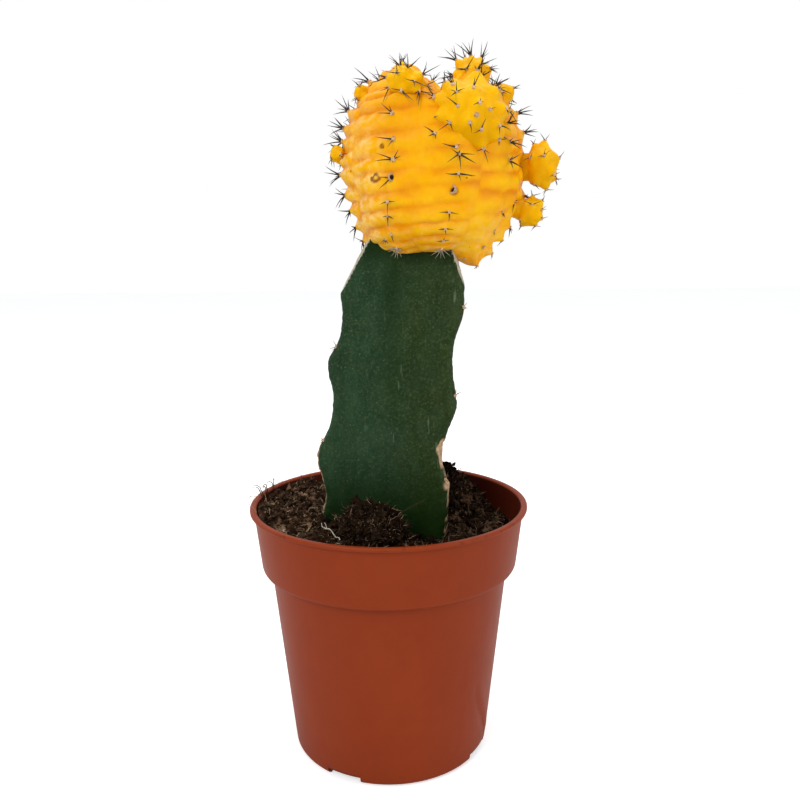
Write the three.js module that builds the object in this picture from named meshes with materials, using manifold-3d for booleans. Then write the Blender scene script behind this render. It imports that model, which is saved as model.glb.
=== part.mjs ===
// A potted moon cactus: a yellow Gymnocalycium head with its offsets, grafted on a three-angled
// Hylocereus rootstock and planted in coarse peat in a moulded plastic grower's pot.
//
// Millimetres, +Z up. The origin is the centre of the pot's underside. The front of the plant, with its
// broad flat rootstock face, looks along -Y, and +X is to the right of someone who faces it.

import * as THREE from "three";
import { mergeVertices } from "three/addons/utils/BufferGeometryUtils.js";
import Module from "manifold-3d";

const wasm = await Module();
wasm.setup();

// ---- driving dimensions -------------------------------------------------------------------------------

const GAP = 0.3; // clearance kept between pieces that touch

const POT = {
  height: 77.8,
  rimRadius: 42.5, // outside of the rolled rim
  collarTopRadius: 41.4,
  collarBottomRadius: 39.3,
  collarBottomZ: 59.0,
  bodyTopRadius: 36.5, // outside of the tapered body, just under the collar
  footRadius: 30.4,
  wall: 1.0,
  floor: 1.4,
  rimDepth: 1.7, // height of the rolled rim
  segments: 60,
};

const DRAIN = {
  count: 4,
  firstAngle: -27, // degrees round from the front, positive to the right
  width: 11,
  height: 2.6,
  innerRadius: 24,
};

const SOIL = {
  level: 71, // mean level of the surface at the pot's axis
  fallToRight: 0.11, // how much lower the surface lies for each millimetre to the right
  lump: 0.8, // height of the lumps
  banks: [ // where the peat is heaped against the back of the pot, and sunk before the stem
    { x: 22, y: 27, height: 9.5, radius: 11 },
    { x: -27, y: 22, height: 2.4, radius: 12 },
    { x: 12, y: -18, height: -1.8, radius: 7 },
  ],
  columns: 44,
};

const CLODS = { // loose lumps of peat against the stem
  front: { centre: new THREE.Vector3(-4.6, -19, 75), radii: new THREE.Vector3(10.4, 6.8, 8.2), seed: 0 },
  back: { centre: new THREE.Vector3(18, 15.5, 79), radii: new THREE.Vector3(4.2, 4, 5.8), seed: 5 },
};

const STRAW = { // a dry root that lies on the peat
  route: [[-19.2, -14.8], [-17.9, -18.8], [-16.5, -21.4], [-13.4, -29]],
  radius: 0.35,
  clearance: 1, // height of its middle line over the peat
};

const STEM = {
  top: 158.5, // the flat graft cut
  foot: 42, // the buried end
  axisAtFoot: -2.6, // where the axis stands to the right of the pot's
  lean: 0.052, // how far the axis moves to the right for each millimetre up
  crestRadius: 2.4, // rounding along the crest of each rib
  hollow: { front: 1.2, right: 2.6, left: 2.6 }, // how far each face sinks between its crests
  rows: 30,
};

const HEAD = {
  centre: new THREE.Vector3(13.5, 0, 178.6),
  radii: new THREE.Vector3(25.4, 24.6, 26),
  tilt: -3, // degrees that the crown leans to the left
  ribs: 9,
  firstRib: -25, // degrees round from the front, positive to the right
  ribDepth: 0.9,
  bands: 15, // tubercle bands from pole to pole
  bandDepth: 0.5,
  fullness: { above: 2.2, below: 3.3 }, // superellipse exponents of the two halves
  cleft: { x: 16, depth: 7.5, width: 5, from: 188, to: 204 }, // the notch between the two crowns
  skirt: { x: 26, y: -4, depth: 4, width: 7, from: 170, to: 158 }, // the lobe that droops past the cut
  rows: 60,
  columns: 45,
};

// ---- colours and finishes -----------------------------------------------------------------------------

const finish = {
  pot: { color: 0x8e3d21, roughness: 0.5, metalness: 0 },
  peat: { color: 0x2b1e16, roughness: 0.95, metalness: 0 },
  stem: { color: 0x2e4530, roughness: 0.6, metalness: 0 },
  scion: { color: 0xf6b51c, roughness: 0.45, metalness: 0 },
  straw: { color: 0xcbbd9c, roughness: 0.9, metalness: 0 },
};

const model = new THREE.Group();

function addPiece(name, geometry, look) {
  const mesh = new THREE.Mesh(geometry, new THREE.MeshStandardMaterial(look));
  mesh.name = name;
  model.add(mesh);
}

// ---- solids -------------------------------------------------------------------------------------------

// A closed geometry as a manifold solid, for cutting and joining.
function toSolid(geometry) {
  const bare = geometry.clone();
  bare.deleteAttribute("normal");
  bare.deleteAttribute("uv");
  const merged = mergeVertices(bare, 1e-4);
  return new wasm.Manifold(
    new wasm.Mesh({
      numProp: 3,
      vertProperties: new Float32Array(merged.attributes.position.array),
      triVerts: new Uint32Array(merged.index.array),
    }),
  );
}

function toGeometry(solid) {
  const mesh = solid.getMesh();
  const geometry = new THREE.BufferGeometry();
  geometry.setAttribute("position", new THREE.BufferAttribute(mesh.vertProperties, 3));
  geometry.setIndex(new THREE.BufferAttribute(mesh.triVerts, 1));
  geometry.computeVertexNormals();
  return geometry;
}

// A closed surface from a grid of points: point(i, j) for rows i = 0..rows-1 and columns j = 0..columns-1
// that close on themselves, with one pole point below the first row and one above the last.
function closedGrid(rows, columns, point, lowPole, highPole) {
  const positions = [];
  for (let i = 0; i < rows; i++) {
    for (let j = 0; j < columns; j++) {
      positions.push(...point(i, j));
    }
  }
  const low = rows * columns;
  const high = low + 1;
  positions.push(...lowPole, ...highPole);

  const triangles = [];
  for (let j = 0; j < columns; j++) {
    const next = (j + 1) % columns;
    triangles.push(low, next, j);
    triangles.push(high, (rows - 1) * columns + j, (rows - 1) * columns + next);
    for (let i = 0; i < rows - 1; i++) {
      const a = i * columns + j;
      const b = i * columns + next;
      triangles.push(a, b, b + columns, a, b + columns, a + columns);
    }
  }
  const geometry = new THREE.BufferGeometry();
  geometry.setAttribute("position", new THREE.Float32BufferAttribute(positions, 3));
  geometry.setIndex(triangles);
  return geometry;
}

// Smooth repeatable unevenness between -1 and 1, from a few crossed waves.
function lumps(x, y, z = 0) {
  const a = Math.sin(0.41 * x + 1.3) * Math.cos(0.37 * y - 0.6 + 0.2 * z);
  const b = Math.sin(0.83 * x - 0.71 * y + 0.5 * z);
  const c = Math.sin(0.29 * y + 0.97 * x + 2.1) * Math.sin(0.88 * y + 0.31 * z);
  return 0.45 * a + 0.3 * b + 0.25 * c;
}

const radians = THREE.MathUtils.degToRad;

// ---- pot ----------------------------------------------------------------------------------------------

// Outside of the pot, from the middle of the floor up to the crest of the rim.
function potOutside() {
  const rimFoot = POT.height - POT.rimDepth;
  return [
    [0, 0],
    [POT.footRadius - 1.0, 0],
    [POT.footRadius, 1.0],
    [POT.bodyTopRadius, POT.collarBottomZ - 0.6],
    [POT.collarBottomRadius - 0.5, POT.collarBottomZ],
    [POT.collarBottomRadius, POT.collarBottomZ + 0.5],
    [POT.collarTopRadius, rimFoot],
    [POT.rimRadius, rimFoot + 0.5],
    [POT.rimRadius, POT.height - 0.5],
    [POT.rimRadius - 0.6, POT.height],
  ];
}

// Inside of the pot, from the rim back down to the middle of the floor. Spare room shrinks it.
function potInside(spare = 0) {
  const inward = POT.wall + spare;
  const slope = (POT.bodyTopRadius - POT.footRadius) / POT.collarBottomZ;
  const floorTop = POT.floor + spare;
  const ledge = POT.collarBottomZ + 0.6 + spare;
  return [
    [POT.collarTopRadius - inward, POT.height - 1.2],
    [POT.collarBottomRadius - inward, ledge + 1],
    [POT.bodyTopRadius - inward, ledge],
    [POT.footRadius + slope * floorTop - inward, floorTop],
    [0, floorTop],
  ];
}

function lathe(profile, segments) {
  const points = profile.map(([radius, height]) => new THREE.Vector2(radius, height));
  const geometry = new THREE.LatheGeometry(points, segments);
  return geometry.rotateX(Math.PI / 2);
}

function makePot() {
  const rimInside = [[POT.collarTopRadius - POT.wall + 0.4, POT.height]];
  const shell = toSolid(lathe([...potOutside(), ...rimInside, ...potInside()], POT.segments));
  const length = POT.footRadius + 2 - DRAIN.innerRadius;
  let pot = shell;
  for (let k = 0; k < DRAIN.count; k++) {
    const slot = new THREE.BoxGeometry(DRAIN.width, length, 2 * DRAIN.height);
    slot.translate(0, -(DRAIN.innerRadius + length / 2), 0);
    slot.rotateZ(radians(DRAIN.firstAngle + (360 / DRAIN.count) * k));
    pot = pot.subtract(toSolid(slot));
  }
  return pot;
}

// ---- rootstock ----------------------------------------------------------------------------------------

// The crest of each rib, from the buried foot up, as [height, how far out it stands]. The wavy margin
// swells at every felt point and draws in between. The left and right crests bound the broad front face
// and are measured along X, and the third crest points back and is measured along Y.
const CRESTS = {
  left: [
    [42, -13], [60, -18], [73, -20.2], [82, -18.8], [94, -20.9], [103, -17.2],
    [111, -15.8], [122, -17], [129, -13.5], [137, -12.6], [146, -13.4], [159, -13.6],
  ],
  right: [
    [42, 12], [60, 15.6], [70, 16.7], [83, 17.9], [88.5, 16.7], [94, 15.7], [99.5, 16.5],
    [104, 18.3], [109, 20], [120, 18.7], [128, 19.2], [136, 21.9], [146, 22], [159, 22.5],
  ],
  back: [
    [42, 13], [60, 17.5], [75, 20.5], [84, 18.6], [99, 21.2], [108, 18.8],
    [124, 21.6], [133, 19.2], [146, 20.4], [159, 20.8],
  ],
};
const CREST_DEPTH = { left: -7, right: -11 }; // where the two front crests stand along Y

// The reach of a rib at a height, on a smooth curve through the points of its crest.
function crestReach(points, height) {
  const last = points.length - 1;
  let k = 0;
  while (k < last - 1 && height > points[k + 1][0]) {
    k++;
  }
  const [zLow, low] = points[k];
  const [zHigh, high] = points[k + 1];
  const before = points[Math.max(k - 1, 0)];
  const after = points[Math.min(k + 2, last)];
  const span = zHigh - zLow;
  const slopeLow = ((high - before[1]) / (zHigh - before[0])) * span;
  const slopeHigh = ((after[1] - low) / (after[0] - zLow)) * span;
  const t = THREE.MathUtils.clamp((height - zLow) / span, 0, 1);
  const rise = t * t * (3 - 2 * t);
  return low + (high - low) * rise + t * (1 - t) * ((1 - t) * slopeLow - t * slopeHigh);
}

function stemAxis(height) {
  return new THREE.Vector2(STEM.axisAtFoot + STEM.lean * (height - STEM.foot), 0);
}

function stemCrests(height) {
  return [
    new THREE.Vector2(crestReach(CRESTS.left, height), CREST_DEPTH.left),
    new THREE.Vector2(crestReach(CRESTS.right, height), CREST_DEPTH.right),
    new THREE.Vector2(stemAxis(height).x + 1.5, crestReach(CRESTS.back, height)),
  ];
}

// The outline at one height: an arc round each crest, then a slightly hollow face to the next one.
function stemOutline(height, grow) {
  const axis = stemAxis(height);
  const round = STEM.crestRadius;
  const centres = stemCrests(height).map((crest) => {
    const inward = axis.clone().sub(crest).setLength(round);
    return crest.clone().add(inward);
  });
  const hollows = [STEM.hollow.front, STEM.hollow.right, STEM.hollow.left];
  const arcSteps = 4;
  const faceSteps = 8;
  const normals = centres.map((centre, k) => {
    const along = centres[(k + 1) % 3].clone().sub(centre).normalize();
    return new THREE.Vector2(along.y, -along.x);
  });

  const outline = [];
  for (let k = 0; k < 3; k++) {
    const start = normals[(k + 2) % 3].angle();
    let turn = normals[k].angle() - start;
    if (turn < 0) {
      turn += 2 * Math.PI;
    }
    for (let s = 0; s < arcSteps; s++) {
      const angle = start + (turn * s) / arcSteps;
      const spoke = new THREE.Vector2(Math.cos(angle), Math.sin(angle)).multiplyScalar(round + grow);
      outline.push(centres[k].clone().add(spoke));
    }
    for (let s = 0; s < faceSteps; s++) {
      const t = s / faceSteps;
      const out = round + grow - hollows[k] * 4 * t * (1 - t);
      const onChord = centres[k].clone().lerp(centres[(k + 1) % 3], t);
      outline.push(onChord.addScaledVector(normals[k], out));
    }
  }
  return outline;
}

// A bevel cut on the end of one rib: everything beyond a steep plane, as a block to take away.
function bevelBlock(crest, height, steepness, grow) {
  const axis = stemAxis(height);
  const outward = crest.clone().sub(axis);
  const block = new THREE.BoxGeometry(40, 60, 60);
  block.translate(20 + grow, 0, 0);
  block.rotateY(-radians(steepness));
  block.rotateZ(outward.angle());
  block.translate(crest.x, crest.y, height);
  return toSolid(block);
}

function makeStem(grow = 0) {
  const foot = STEM.foot - grow;
  const top = STEM.top + grow;
  const heights = [];
  for (let i = 0; i < STEM.rows; i++) {
    heights.push(foot + ((top - foot) * i) / (STEM.rows - 1));
  }
  const outlines = heights.map((height) => stemOutline(height, grow));
  const point = (i, j) => [outlines[i][j].x, outlines[i][j].y, heights[i]];
  const pole = (height) => [stemAxis(height).x, stemAxis(height).y, height];
  const body = closedGrid(STEM.rows, outlines[0].length, point, pole(foot), pole(top));

  let stem = toSolid(body);
  const bevels = [
    { rib: 0, height: 142, steepness: 29 },
    { rib: 1, height: 144.5, steepness: 18 },
    { rib: 2, height: 143, steepness: 26 },
  ];
  for (const { rib, height, steepness } of bevels) {
    const crest = stemCrests(height)[rib];
    stem = stem.subtract(bevelBlock(crest, height, steepness, grow));
  }
  return stem;
}

// ---- peat ---------------------------------------------------------------------------------------------

function soilHeight(x, y) {
  let height = SOIL.level - SOIL.fallToRight * x + SOIL.lump * lumps(x, y);
  for (const bank of SOIL.banks) {
    const away = Math.hypot(x - bank.x, y - bank.y) / bank.radius;
    height += bank.height * Math.exp(-away * away);
  }
  return height;
}

// Inside radius of the pot at a height, with the spare room taken off.
function insideRadius(height) {
  const profile = potInside(GAP);
  for (let k = 0; k < profile.length - 1; k++) {
    const [rHigh, zHigh] = profile[k];
    const [rLow, zLow] = profile[k + 1];
    if (height <= zHigh && height >= zLow && zHigh > zLow) {
      return rLow + ((rHigh - rLow) * (height - zLow)) / (zHigh - zLow);
    }
  }
  return profile[0][0];
}

function makeSoil() {
  const [, overLedge, underLedge, foot] = potInside(GAP);
  const bottom = foot[1];
  const sides = [foot, underLedge, overLedge];
  const rings = [1, 0.93, 0.84, 0.74, 0.64, 0.54, 0.44, 0.34, 0.24, 0.14, 0.06];
  const point = (i, j) => {
    const angle = (2 * Math.PI * j) / SOIL.columns;
    const c = Math.cos(angle);
    const s = Math.sin(angle);
    if (i < sides.length) {
      const [radius, height] = sides[i];
      return [radius * c, radius * s, height];
    }
    const wall = insideRadius(SOIL.level);
    const edge = insideRadius(soilHeight(wall * c, wall * s));
    const radius = edge * rings[i - sides.length];
    return [radius * c, radius * s, soilHeight(radius * c, radius * s)];
  };
  const rows = sides.length + rings.length;
  const mass = closedGrid(rows, SOIL.columns, point, [0, 0, bottom], [0, 0, soilHeight(0, 0)]);
  return toSolid(mass);
}

// A rough lump of peat, as an uneven ball.
function makeClod({ centre, radii, seed }) {
  const rows = 9;
  const columns = 16;
  const point = (i, j) => {
    const polar = (Math.PI * (i + 1)) / (rows + 1);
    const angle = (2 * Math.PI * j) / columns;
    const x = Math.sin(polar) * Math.cos(angle);
    const y = Math.sin(polar) * Math.sin(angle);
    const z = -Math.cos(polar);
    const swell = 1 + 0.1 * lumps(9 * x + seed, 9 * y, 9 * z);
    return [
      centre.x + radii.x * x * swell,
      centre.y + radii.y * y * swell,
      centre.z + radii.z * z * swell,
    ];
  };
  const low = [centre.x, centre.y, centre.z - radii.z];
  const high = [centre.x, centre.y, centre.z + radii.z];
  return toSolid(closedGrid(rows, columns, point, low, high));
}

// ---- grafted head -------------------------------------------------------------------------------------

const signedPower = (value, power) => Math.sign(value) * Math.pow(Math.abs(value), power);

// Surface point of the head. The angle runs round from the front, positive to the right, and polar from
// the bottom pole to the top one. A barrel-shaped superellipsoid carries the ribs and the cross bands,
// leans over, and sinks along the cleft between its two crowns.
function headPoint(angle, polar, grow) {
  const round = Math.sin(polar);
  const rise = -Math.cos(polar);
  const fullness = rise > 0 ? HEAD.fullness.above : HEAD.fullness.below;
  const wide = signedPower(round, 2 / fullness);
  const tall = signedPower(rise, 2 / fullness);
  const rib = HEAD.ribDepth * Math.cos(HEAD.ribs * (angle - radians(HEAD.firstRib)));
  const band = HEAD.bandDepth * Math.cos(2 * HEAD.bands * polar);
  const swell = grow + (rib + band) * round;
  const local = new THREE.Vector3(
    HEAD.radii.x * wide * Math.sin(angle),
    -HEAD.radii.y * wide * Math.cos(angle),
    HEAD.radii.z * tall,
  );
  local.multiplyScalar(1 + swell / local.length());
  local.applyAxisAngle(new THREE.Vector3(0, 1, 0), radians(HEAD.tilt));
  const place = local.add(HEAD.centre);

  const cleft = HEAD.cleft;
  const across = (place.x - cleft.x) / cleft.width;
  const high = THREE.MathUtils.smoothstep(place.z, cleft.from, cleft.to);
  const skirt = HEAD.skirt;
  const aside = Math.hypot(place.x - skirt.x, place.y - skirt.y) / skirt.width;
  const low = 1 - THREE.MathUtils.smoothstep(place.z, skirt.to, skirt.from);
  place.z -= cleft.depth * Math.exp(-across * across) * high;
  place.z -= skirt.depth * Math.exp(-aside * aside) * low;
  return place.toArray();
}

function makeHead(grow = 0) {
  const point = (i, j) => {
    const polar = (Math.PI * (i + 1)) / (HEAD.rows + 1);
    return headPoint((2 * Math.PI * j) / HEAD.columns, polar, grow);
  };
  const low = headPoint(0, 0.001, grow);
  const high = headPoint(0, Math.PI - 0.001, grow);
  return toSolid(closedGrid(HEAD.rows, HEAD.columns, point, low, high));
}

// ---- offsets ------------------------------------------------------------------------------------------

// Each offset is a small knobbly ball that sprouts from the head. root is the point inside the head that
// its neck comes from, and neck is the neck's radius.
const OFFSETS = [
  {
    name: "offset_front_large",
    centre: [22.6, -17, 188.7],
    radius: 9.9,
    root: [18, -6, 184],
    neck: 7,
    rows: 14,
  },
  { name: "offset_crown_left", centre: [6.2, -16.4, 197.4], radius: 5, root: [7, -8, 192], neck: 3.6 },
  { name: "offset_crown_tip", centre: [4.5, -1, 202.5], radius: 3.2, root: [8, 0, 195], neck: 2.4 },
  { name: "offset_crown_right", centre: [24.7, -3, 201.7], radius: 5.2, root: [22, -1, 195], neck: 3.2 },
  { name: "offset_shoulder_right", centre: [33.6, -3, 197], radius: 2.9, root: [30, -1, 188], neck: 1.9 },
  { name: "offset_side_right", centre: [44.4, -3, 177.6], radius: 5.6, root: [34, 0, 177], neck: 3 },
  { name: "offset_lower_right", centre: [41, -4, 164.4], radius: 4.3, root: [31, 0, 168], neck: 2.6 },
  { name: "offset_left_edge", centre: [-13.3, -3, 181], radius: 2.2, root: [-8, -1, 181], neck: 1.6 },
  { name: "offset_left_shoulder", centre: [-6.2, -4, 197], radius: 2.2, root: [0, -1, 190], neck: 1.7 },
  { name: "offset_back_high", centre: [13, 15, 197], radius: 6.5, root: [13, 7, 188], neck: 4.5 },
  { name: "offset_back_left", centre: [-3, 18, 184], radius: 5.5, root: [3, 10, 182], neck: 3.8 },
  { name: "offset_back_right", centre: [29, 19, 176], radius: 6, root: [22, 10, 177], neck: 4 },
];

function makeOffset({ centre, radius, root, neck, rows = 9 }) {
  const columns = Math.round(1.8 * rows);
  const middle = new THREE.Vector3(...centre);
  const knobs = 5;
  const point = (i, j) => {
    const polar = (Math.PI * (i + 1)) / (rows + 1);
    const angle = (2 * Math.PI * j) / columns;
    const knob = Math.cos(knobs * angle) * Math.cos(4 * polar) * Math.sin(polar);
    const reach = radius * (1 + 0.05 * knob);
    return [
      middle.x + reach * Math.sin(polar) * Math.cos(angle),
      middle.y + reach * Math.sin(polar) * Math.sin(angle),
      middle.z - reach * Math.cos(polar),
    ];
  };
  const low = [middle.x, middle.y, middle.z - radius];
  const high = [middle.x, middle.y, middle.z + radius];
  const ball = toSolid(closedGrid(rows, columns, point, low, high));

  const start = new THREE.Vector3(...root);
  const along = middle.clone().sub(start);
  const turn = new THREE.Quaternion();
  turn.setFromUnitVectors(new THREE.Vector3(0, 1, 0), along.clone().normalize());
  const stalk = new THREE.CylinderGeometry(neck, neck, along.length(), 12);
  stalk.applyQuaternion(turn);
  stalk.translate(...start.addScaledVector(along, 0.5).toArray());
  return ball.add(toSolid(stalk));
}

// A pale dry root that lies on the peat at the rootstock's left foot.
function makeStraw() {
  const lie = (x, y) => new THREE.Vector3(x, y, soilHeight(x, y) + STRAW.clearance);
  const route = new THREE.CatmullRomCurve3(STRAW.route.map(([x, y]) => lie(x, y)));
  const section = new THREE.Shape();
  section.absarc(0, 0, STRAW.radius, 0, 2 * Math.PI, false);
  return new THREE.ExtrudeGeometry(section, {
    steps: 8,
    curveSegments: 4,
    extrudePath: route,
    bevelEnabled: false,
  });
}

// ---- assembly -----------------------------------------------------------------------------------------

const stem = makeStem();
const stemWithRoom = makeStem(GAP);
const soil = makeSoil().subtract(stemWithRoom);
const soilWithRoom = makeSoil().translate(0, 0, GAP);
const moundFront = makeClod(CLODS.front).subtract(soilWithRoom).subtract(stemWithRoom);
const clodBack = makeClod(CLODS.back).subtract(soilWithRoom).subtract(stemWithRoom);
const head = makeHead().subtract(stemWithRoom);

addPiece("pot", toGeometry(makePot()), finish.pot);
addPiece("soil", toGeometry(soil), finish.peat);
addPiece("peat_mound_front", toGeometry(moundFront), finish.peat);
addPiece("peat_clod_back", toGeometry(clodBack), finish.peat);
addPiece("straw_root", makeStraw(), finish.straw);
addPiece("rootstock_stem", toGeometry(stem), finish.stem);
addPiece("scion_head", toGeometry(head), finish.scion);

// Each offset is trimmed to its seat on the head, and to the offsets before it where two meet. The seat
// takes a little more room, because the head's flanks slope where they run into the cleft.
let taken = makeHead(1.4 * GAP);
for (const offset of OFFSETS) {
  const seated = makeOffset(offset).subtract(taken);
  addPiece(offset.name, toGeometry(seated), finish.scion);
  taken = taken.add(makeOffset({ ...offset, radius: offset.radius + GAP, neck: offset.neck + GAP }));
}

export default model;
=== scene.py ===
"""The looks of a potted moon cactus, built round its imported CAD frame.

Shapes are worked out in millimetres and become metres when their mesh is made. The front of the plant
looks along -Y, +X is to the right of someone who faces it, and +Z is up.
"""

import math

import bpy
import numpy as np
from mathutils import Matrix, Vector


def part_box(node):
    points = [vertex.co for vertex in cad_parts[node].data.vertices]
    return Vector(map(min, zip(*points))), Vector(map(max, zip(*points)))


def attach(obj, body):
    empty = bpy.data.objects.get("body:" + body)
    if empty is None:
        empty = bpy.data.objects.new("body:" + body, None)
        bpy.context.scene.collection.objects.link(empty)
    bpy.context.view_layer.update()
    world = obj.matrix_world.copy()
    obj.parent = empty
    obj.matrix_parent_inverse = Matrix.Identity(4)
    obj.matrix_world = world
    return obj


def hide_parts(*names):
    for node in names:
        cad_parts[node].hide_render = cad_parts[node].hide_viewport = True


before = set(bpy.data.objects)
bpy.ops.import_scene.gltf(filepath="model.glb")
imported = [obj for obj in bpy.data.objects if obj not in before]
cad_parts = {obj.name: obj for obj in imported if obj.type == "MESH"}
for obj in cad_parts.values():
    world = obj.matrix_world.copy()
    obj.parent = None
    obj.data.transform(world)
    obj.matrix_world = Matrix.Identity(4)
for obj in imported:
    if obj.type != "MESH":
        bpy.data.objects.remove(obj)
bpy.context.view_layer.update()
MM = 0.001


def box_mm(node):
    """Lowest and highest corner of a CAD node, in millimetres."""
    low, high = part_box(node)
    return np.array(low) / MM, np.array(high) / MM


# ---- driving dimensions ------------------------------------------------------------------------------

RIM_RADIUS, _, RIM_Z = box_mm("pot")[1]
COLLAR_TOP_RADIUS = RIM_RADIUS - 1.1
COLLAR_FOOT_RADIUS = RIM_RADIUS - 3.2
COLLAR_FOOT_Z = RIM_Z - 18.8
BODY_TOP_RADIUS = RIM_RADIUS - 6.0
FOOT_RADIUS = RIM_RADIUS - 12.1
WALL = 1.0
FLOOR = 1.4
DRAIN_SLOTS = 4
DRAIN_FIRST = math.radians(-27)  # round from the front, positive to the right
DRAIN_WIDTH = 11.0
DRAIN_HEIGHT = 2.6
DRAIN_INNER = 24.0  # from the axis to the inner end of a slot's cutter
DRAIN_LENGTH = 12.0

SOIL_LEVEL = RIM_Z - 6.8
SOIL_FALL = 0.11  # how much lower the peat lies for each millimetre to the right

HEAD_CENTRE = np.array([13.5, 0.0, 178.6])
HEAD_RADII = np.array([25.4, 24.6, 26.0])
HEAD_TILT = math.radians(-3)
FULLNESS_ABOVE = 2.2
FULLNESS_BELOW = 3.3
RIBS = 9
BAND_PITCH = 5.2

CAMERA_PLACE = (0.003755, -0.243395, 0.153847)  # metres
CAMERA_PITCH = 0.181  # radians below the level
CAMERA_ROLL = -0.008  # radians
CAMERA_SENSOR = 36
CAMERA_LENS = 36.67
CAMERA_NEAR = 0.01
SOFTBOX_TARGET = (0.005, 0, 0.11)
SOFTBOXES = [  # name, place, diameter and power, in metres and watts
    ("key_softbox", (-0.55, -0.75, 0.75), 0.6, 5.4),
    ("fill_softbox", (0.78, -0.36, 0.3), 0.6, 2.1),
    ("top_softbox", (0.05, 0.1, 0.95), 0.7, 3.1),
]
FLOOR_REACH = 3.0  # metres


# ---- camera, light and floor -------------------------------------------------------------------------

def add_object(name, data):
    """A new object with this data, in the scene."""
    made = bpy.data.objects.new(name, data)
    bpy.context.scene.collection.objects.link(made)
    return made


def add_camera():
    """The camera looks along +Y, a little down, with a slight roll."""
    data = bpy.data.cameras.new("camera")
    data.lens = CAMERA_LENS
    data.sensor_width = CAMERA_SENSOR
    data.clip_start = CAMERA_NEAR
    camera = add_object("camera", data)
    level = Matrix.Rotation(math.pi / 2 - CAMERA_PITCH, 4, "X")
    camera.matrix_world = Matrix.Translation(CAMERA_PLACE) @ level @ Matrix.Rotation(CAMERA_ROLL, 4, "Z")
    bpy.context.scene.camera = camera


def add_softbox(name, place, size, power):
    """A round area light at place that faces the middle of the plant."""
    data = bpy.data.lights.new(name, "AREA")
    data.shape = "DISK"
    data.size = size
    data.energy = power
    direction = Vector(SOFTBOX_TARGET) - Vector(place)
    turn = direction.to_track_quat("-Z", "Y").to_matrix().to_4x4()
    add_object(name, data).matrix_world = Matrix.Translation(place) @ turn


def add_surroundings():
    """A world that lights the plant softly, looks white, and shows nearly white in its gloss."""
    world = bpy.data.worlds.new("studio")
    bpy.context.scene.world = world
    world.use_nodes = True
    world.node_tree.nodes.clear()
    mix = Mixer(world.node_tree)
    seen = mix.node("ShaderNodeBackground", {"Color": (1, 1, 1), "Strength": 1.0})
    light = mix.node("ShaderNodeBackground", {"Color": (0.97, 0.985, 1), "Strength": 0.5})
    path = mix.node("ShaderNodeLightPath")
    mirrored = mix.times(path.outputs["Is Glossy Ray"], 0.8)
    share = mix.math("MAXIMUM", path.outputs["Is Camera Ray"], mirrored)
    pick = mix.node("ShaderNodeMixShader", {0: share, 1: light.outputs[0], 2: seen.outputs[0]})
    mix.node("ShaderNodeOutputWorld", {"Surface": pick.outputs[0]})


def add_studio():
    """White surroundings, softboxes high on the left, low on the right and overhead, and a pale floor."""
    bpy.context.scene.view_settings.view_transform = "Standard"
    bpy.context.scene.view_settings.look = "None"
    add_surroundings()
    for softbox in SOFTBOXES:
        add_softbox(*softbox)
    mesh = bpy.data.meshes.new("floor")
    corners = [(x * FLOOR_REACH, y * FLOOR_REACH, 0) for x, y in ((-1, -1), (1, -1), (1, 1), (-1, 1))]
    mesh.from_pydata(corners, [], [(0, 1, 2, 3)])
    mesh.materials.append(floor_material())
    floor = add_object("floor", mesh)


# ---- shader building ---------------------------------------------------------------------------------

class Mixer:
    """Adds nodes to one shader tree. Its patterns are laid out by the vector place."""

    def __init__(self, tree, place=None):
        self.tree, self.place = tree, place

    def fill(self, socket, value):
        """Links a value that is a socket, or makes it the socket's own. A plain colour is opaque."""
        if isinstance(value, bpy.types.NodeSocket):
            self.tree.links.new(value, socket)
        else:
            socket.default_value = (*value, 1) if socket.type == "RGBA" else value

    def node(self, kind, inputs=None, **settings):
        """Adds a node, sets its properties, and fills its inputs with values or links."""
        made = self.tree.nodes.new(kind)
        for key, value in settings.items():
            setattr(made, key, value)
        for key, value in (inputs or {}).items():
            self.fill(made.inputs[key], value)
        return made

    def math(self, operation, a, b, **settings):
        """The result of one math node."""
        return self.node("ShaderNodeMath", {0: a, 1: b}, operation=operation, **settings).outputs[0]

    def times(self, a, b):
        return self.math("MULTIPLY", a, b)

    def plus(self, a, b):
        return self.math("ADD", a, b)

    def ramp(self, value, low, high, clamp=True):
        """The value carried from the range low..high to 0..1."""
        inputs = {"Value": value, "From Min": low, "From Max": high}
        return self.node("ShaderNodeMapRange", inputs, clamp=clamp).outputs[0]

    def blend(self, factor, a, b):
        """Colour a where the factor is 0, colour b where it is 1."""
        return self.node("ShaderNodeMix", {0: factor, 6: a, 7: b}, data_type="RGBA").outputs[2]

    def laid(self, stretch):
        """The place, multiplied along each axis when a stretch is given."""
        if stretch is None:
            return self.place
        return self.node("ShaderNodeMapping", {"Vector": self.place, "Scale": stretch}).outputs[0]

    def noise(self, scale, detail=3.0, roughness=0.55, stretch=None):
        """Cloudy noise in 0..1, with this many cells for each unit of the place."""
        inputs = {"Vector": self.laid(stretch), "Scale": scale, "Detail": detail, "Roughness": roughness}
        return self.node("ShaderNodeTexNoise", inputs).outputs["Fac"]


def make_group(name, settings):
    """A shader node group with the input Vector, float inputs with these defaults, and the output Mask.
    Gives the group, a mixer whose place is the Vector, the input sockets and the output socket."""
    tree = bpy.data.node_groups.new(name, "ShaderNodeTree")
    tree.interface.new_socket("Vector", in_out="INPUT", socket_type="NodeSocketVector")
    for label, default in settings.items():
        socket = tree.interface.new_socket(label, in_out="INPUT", socket_type="NodeSocketFloat")
        socket.default_value = default
    tree.interface.new_socket("Mask", in_out="OUTPUT", socket_type="NodeSocketFloat")
    given = tree.nodes.new("NodeGroupInput").outputs
    return tree, Mixer(tree, given["Vector"]), given, tree.nodes.new("NodeGroupOutput").inputs["Mask"]


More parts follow.
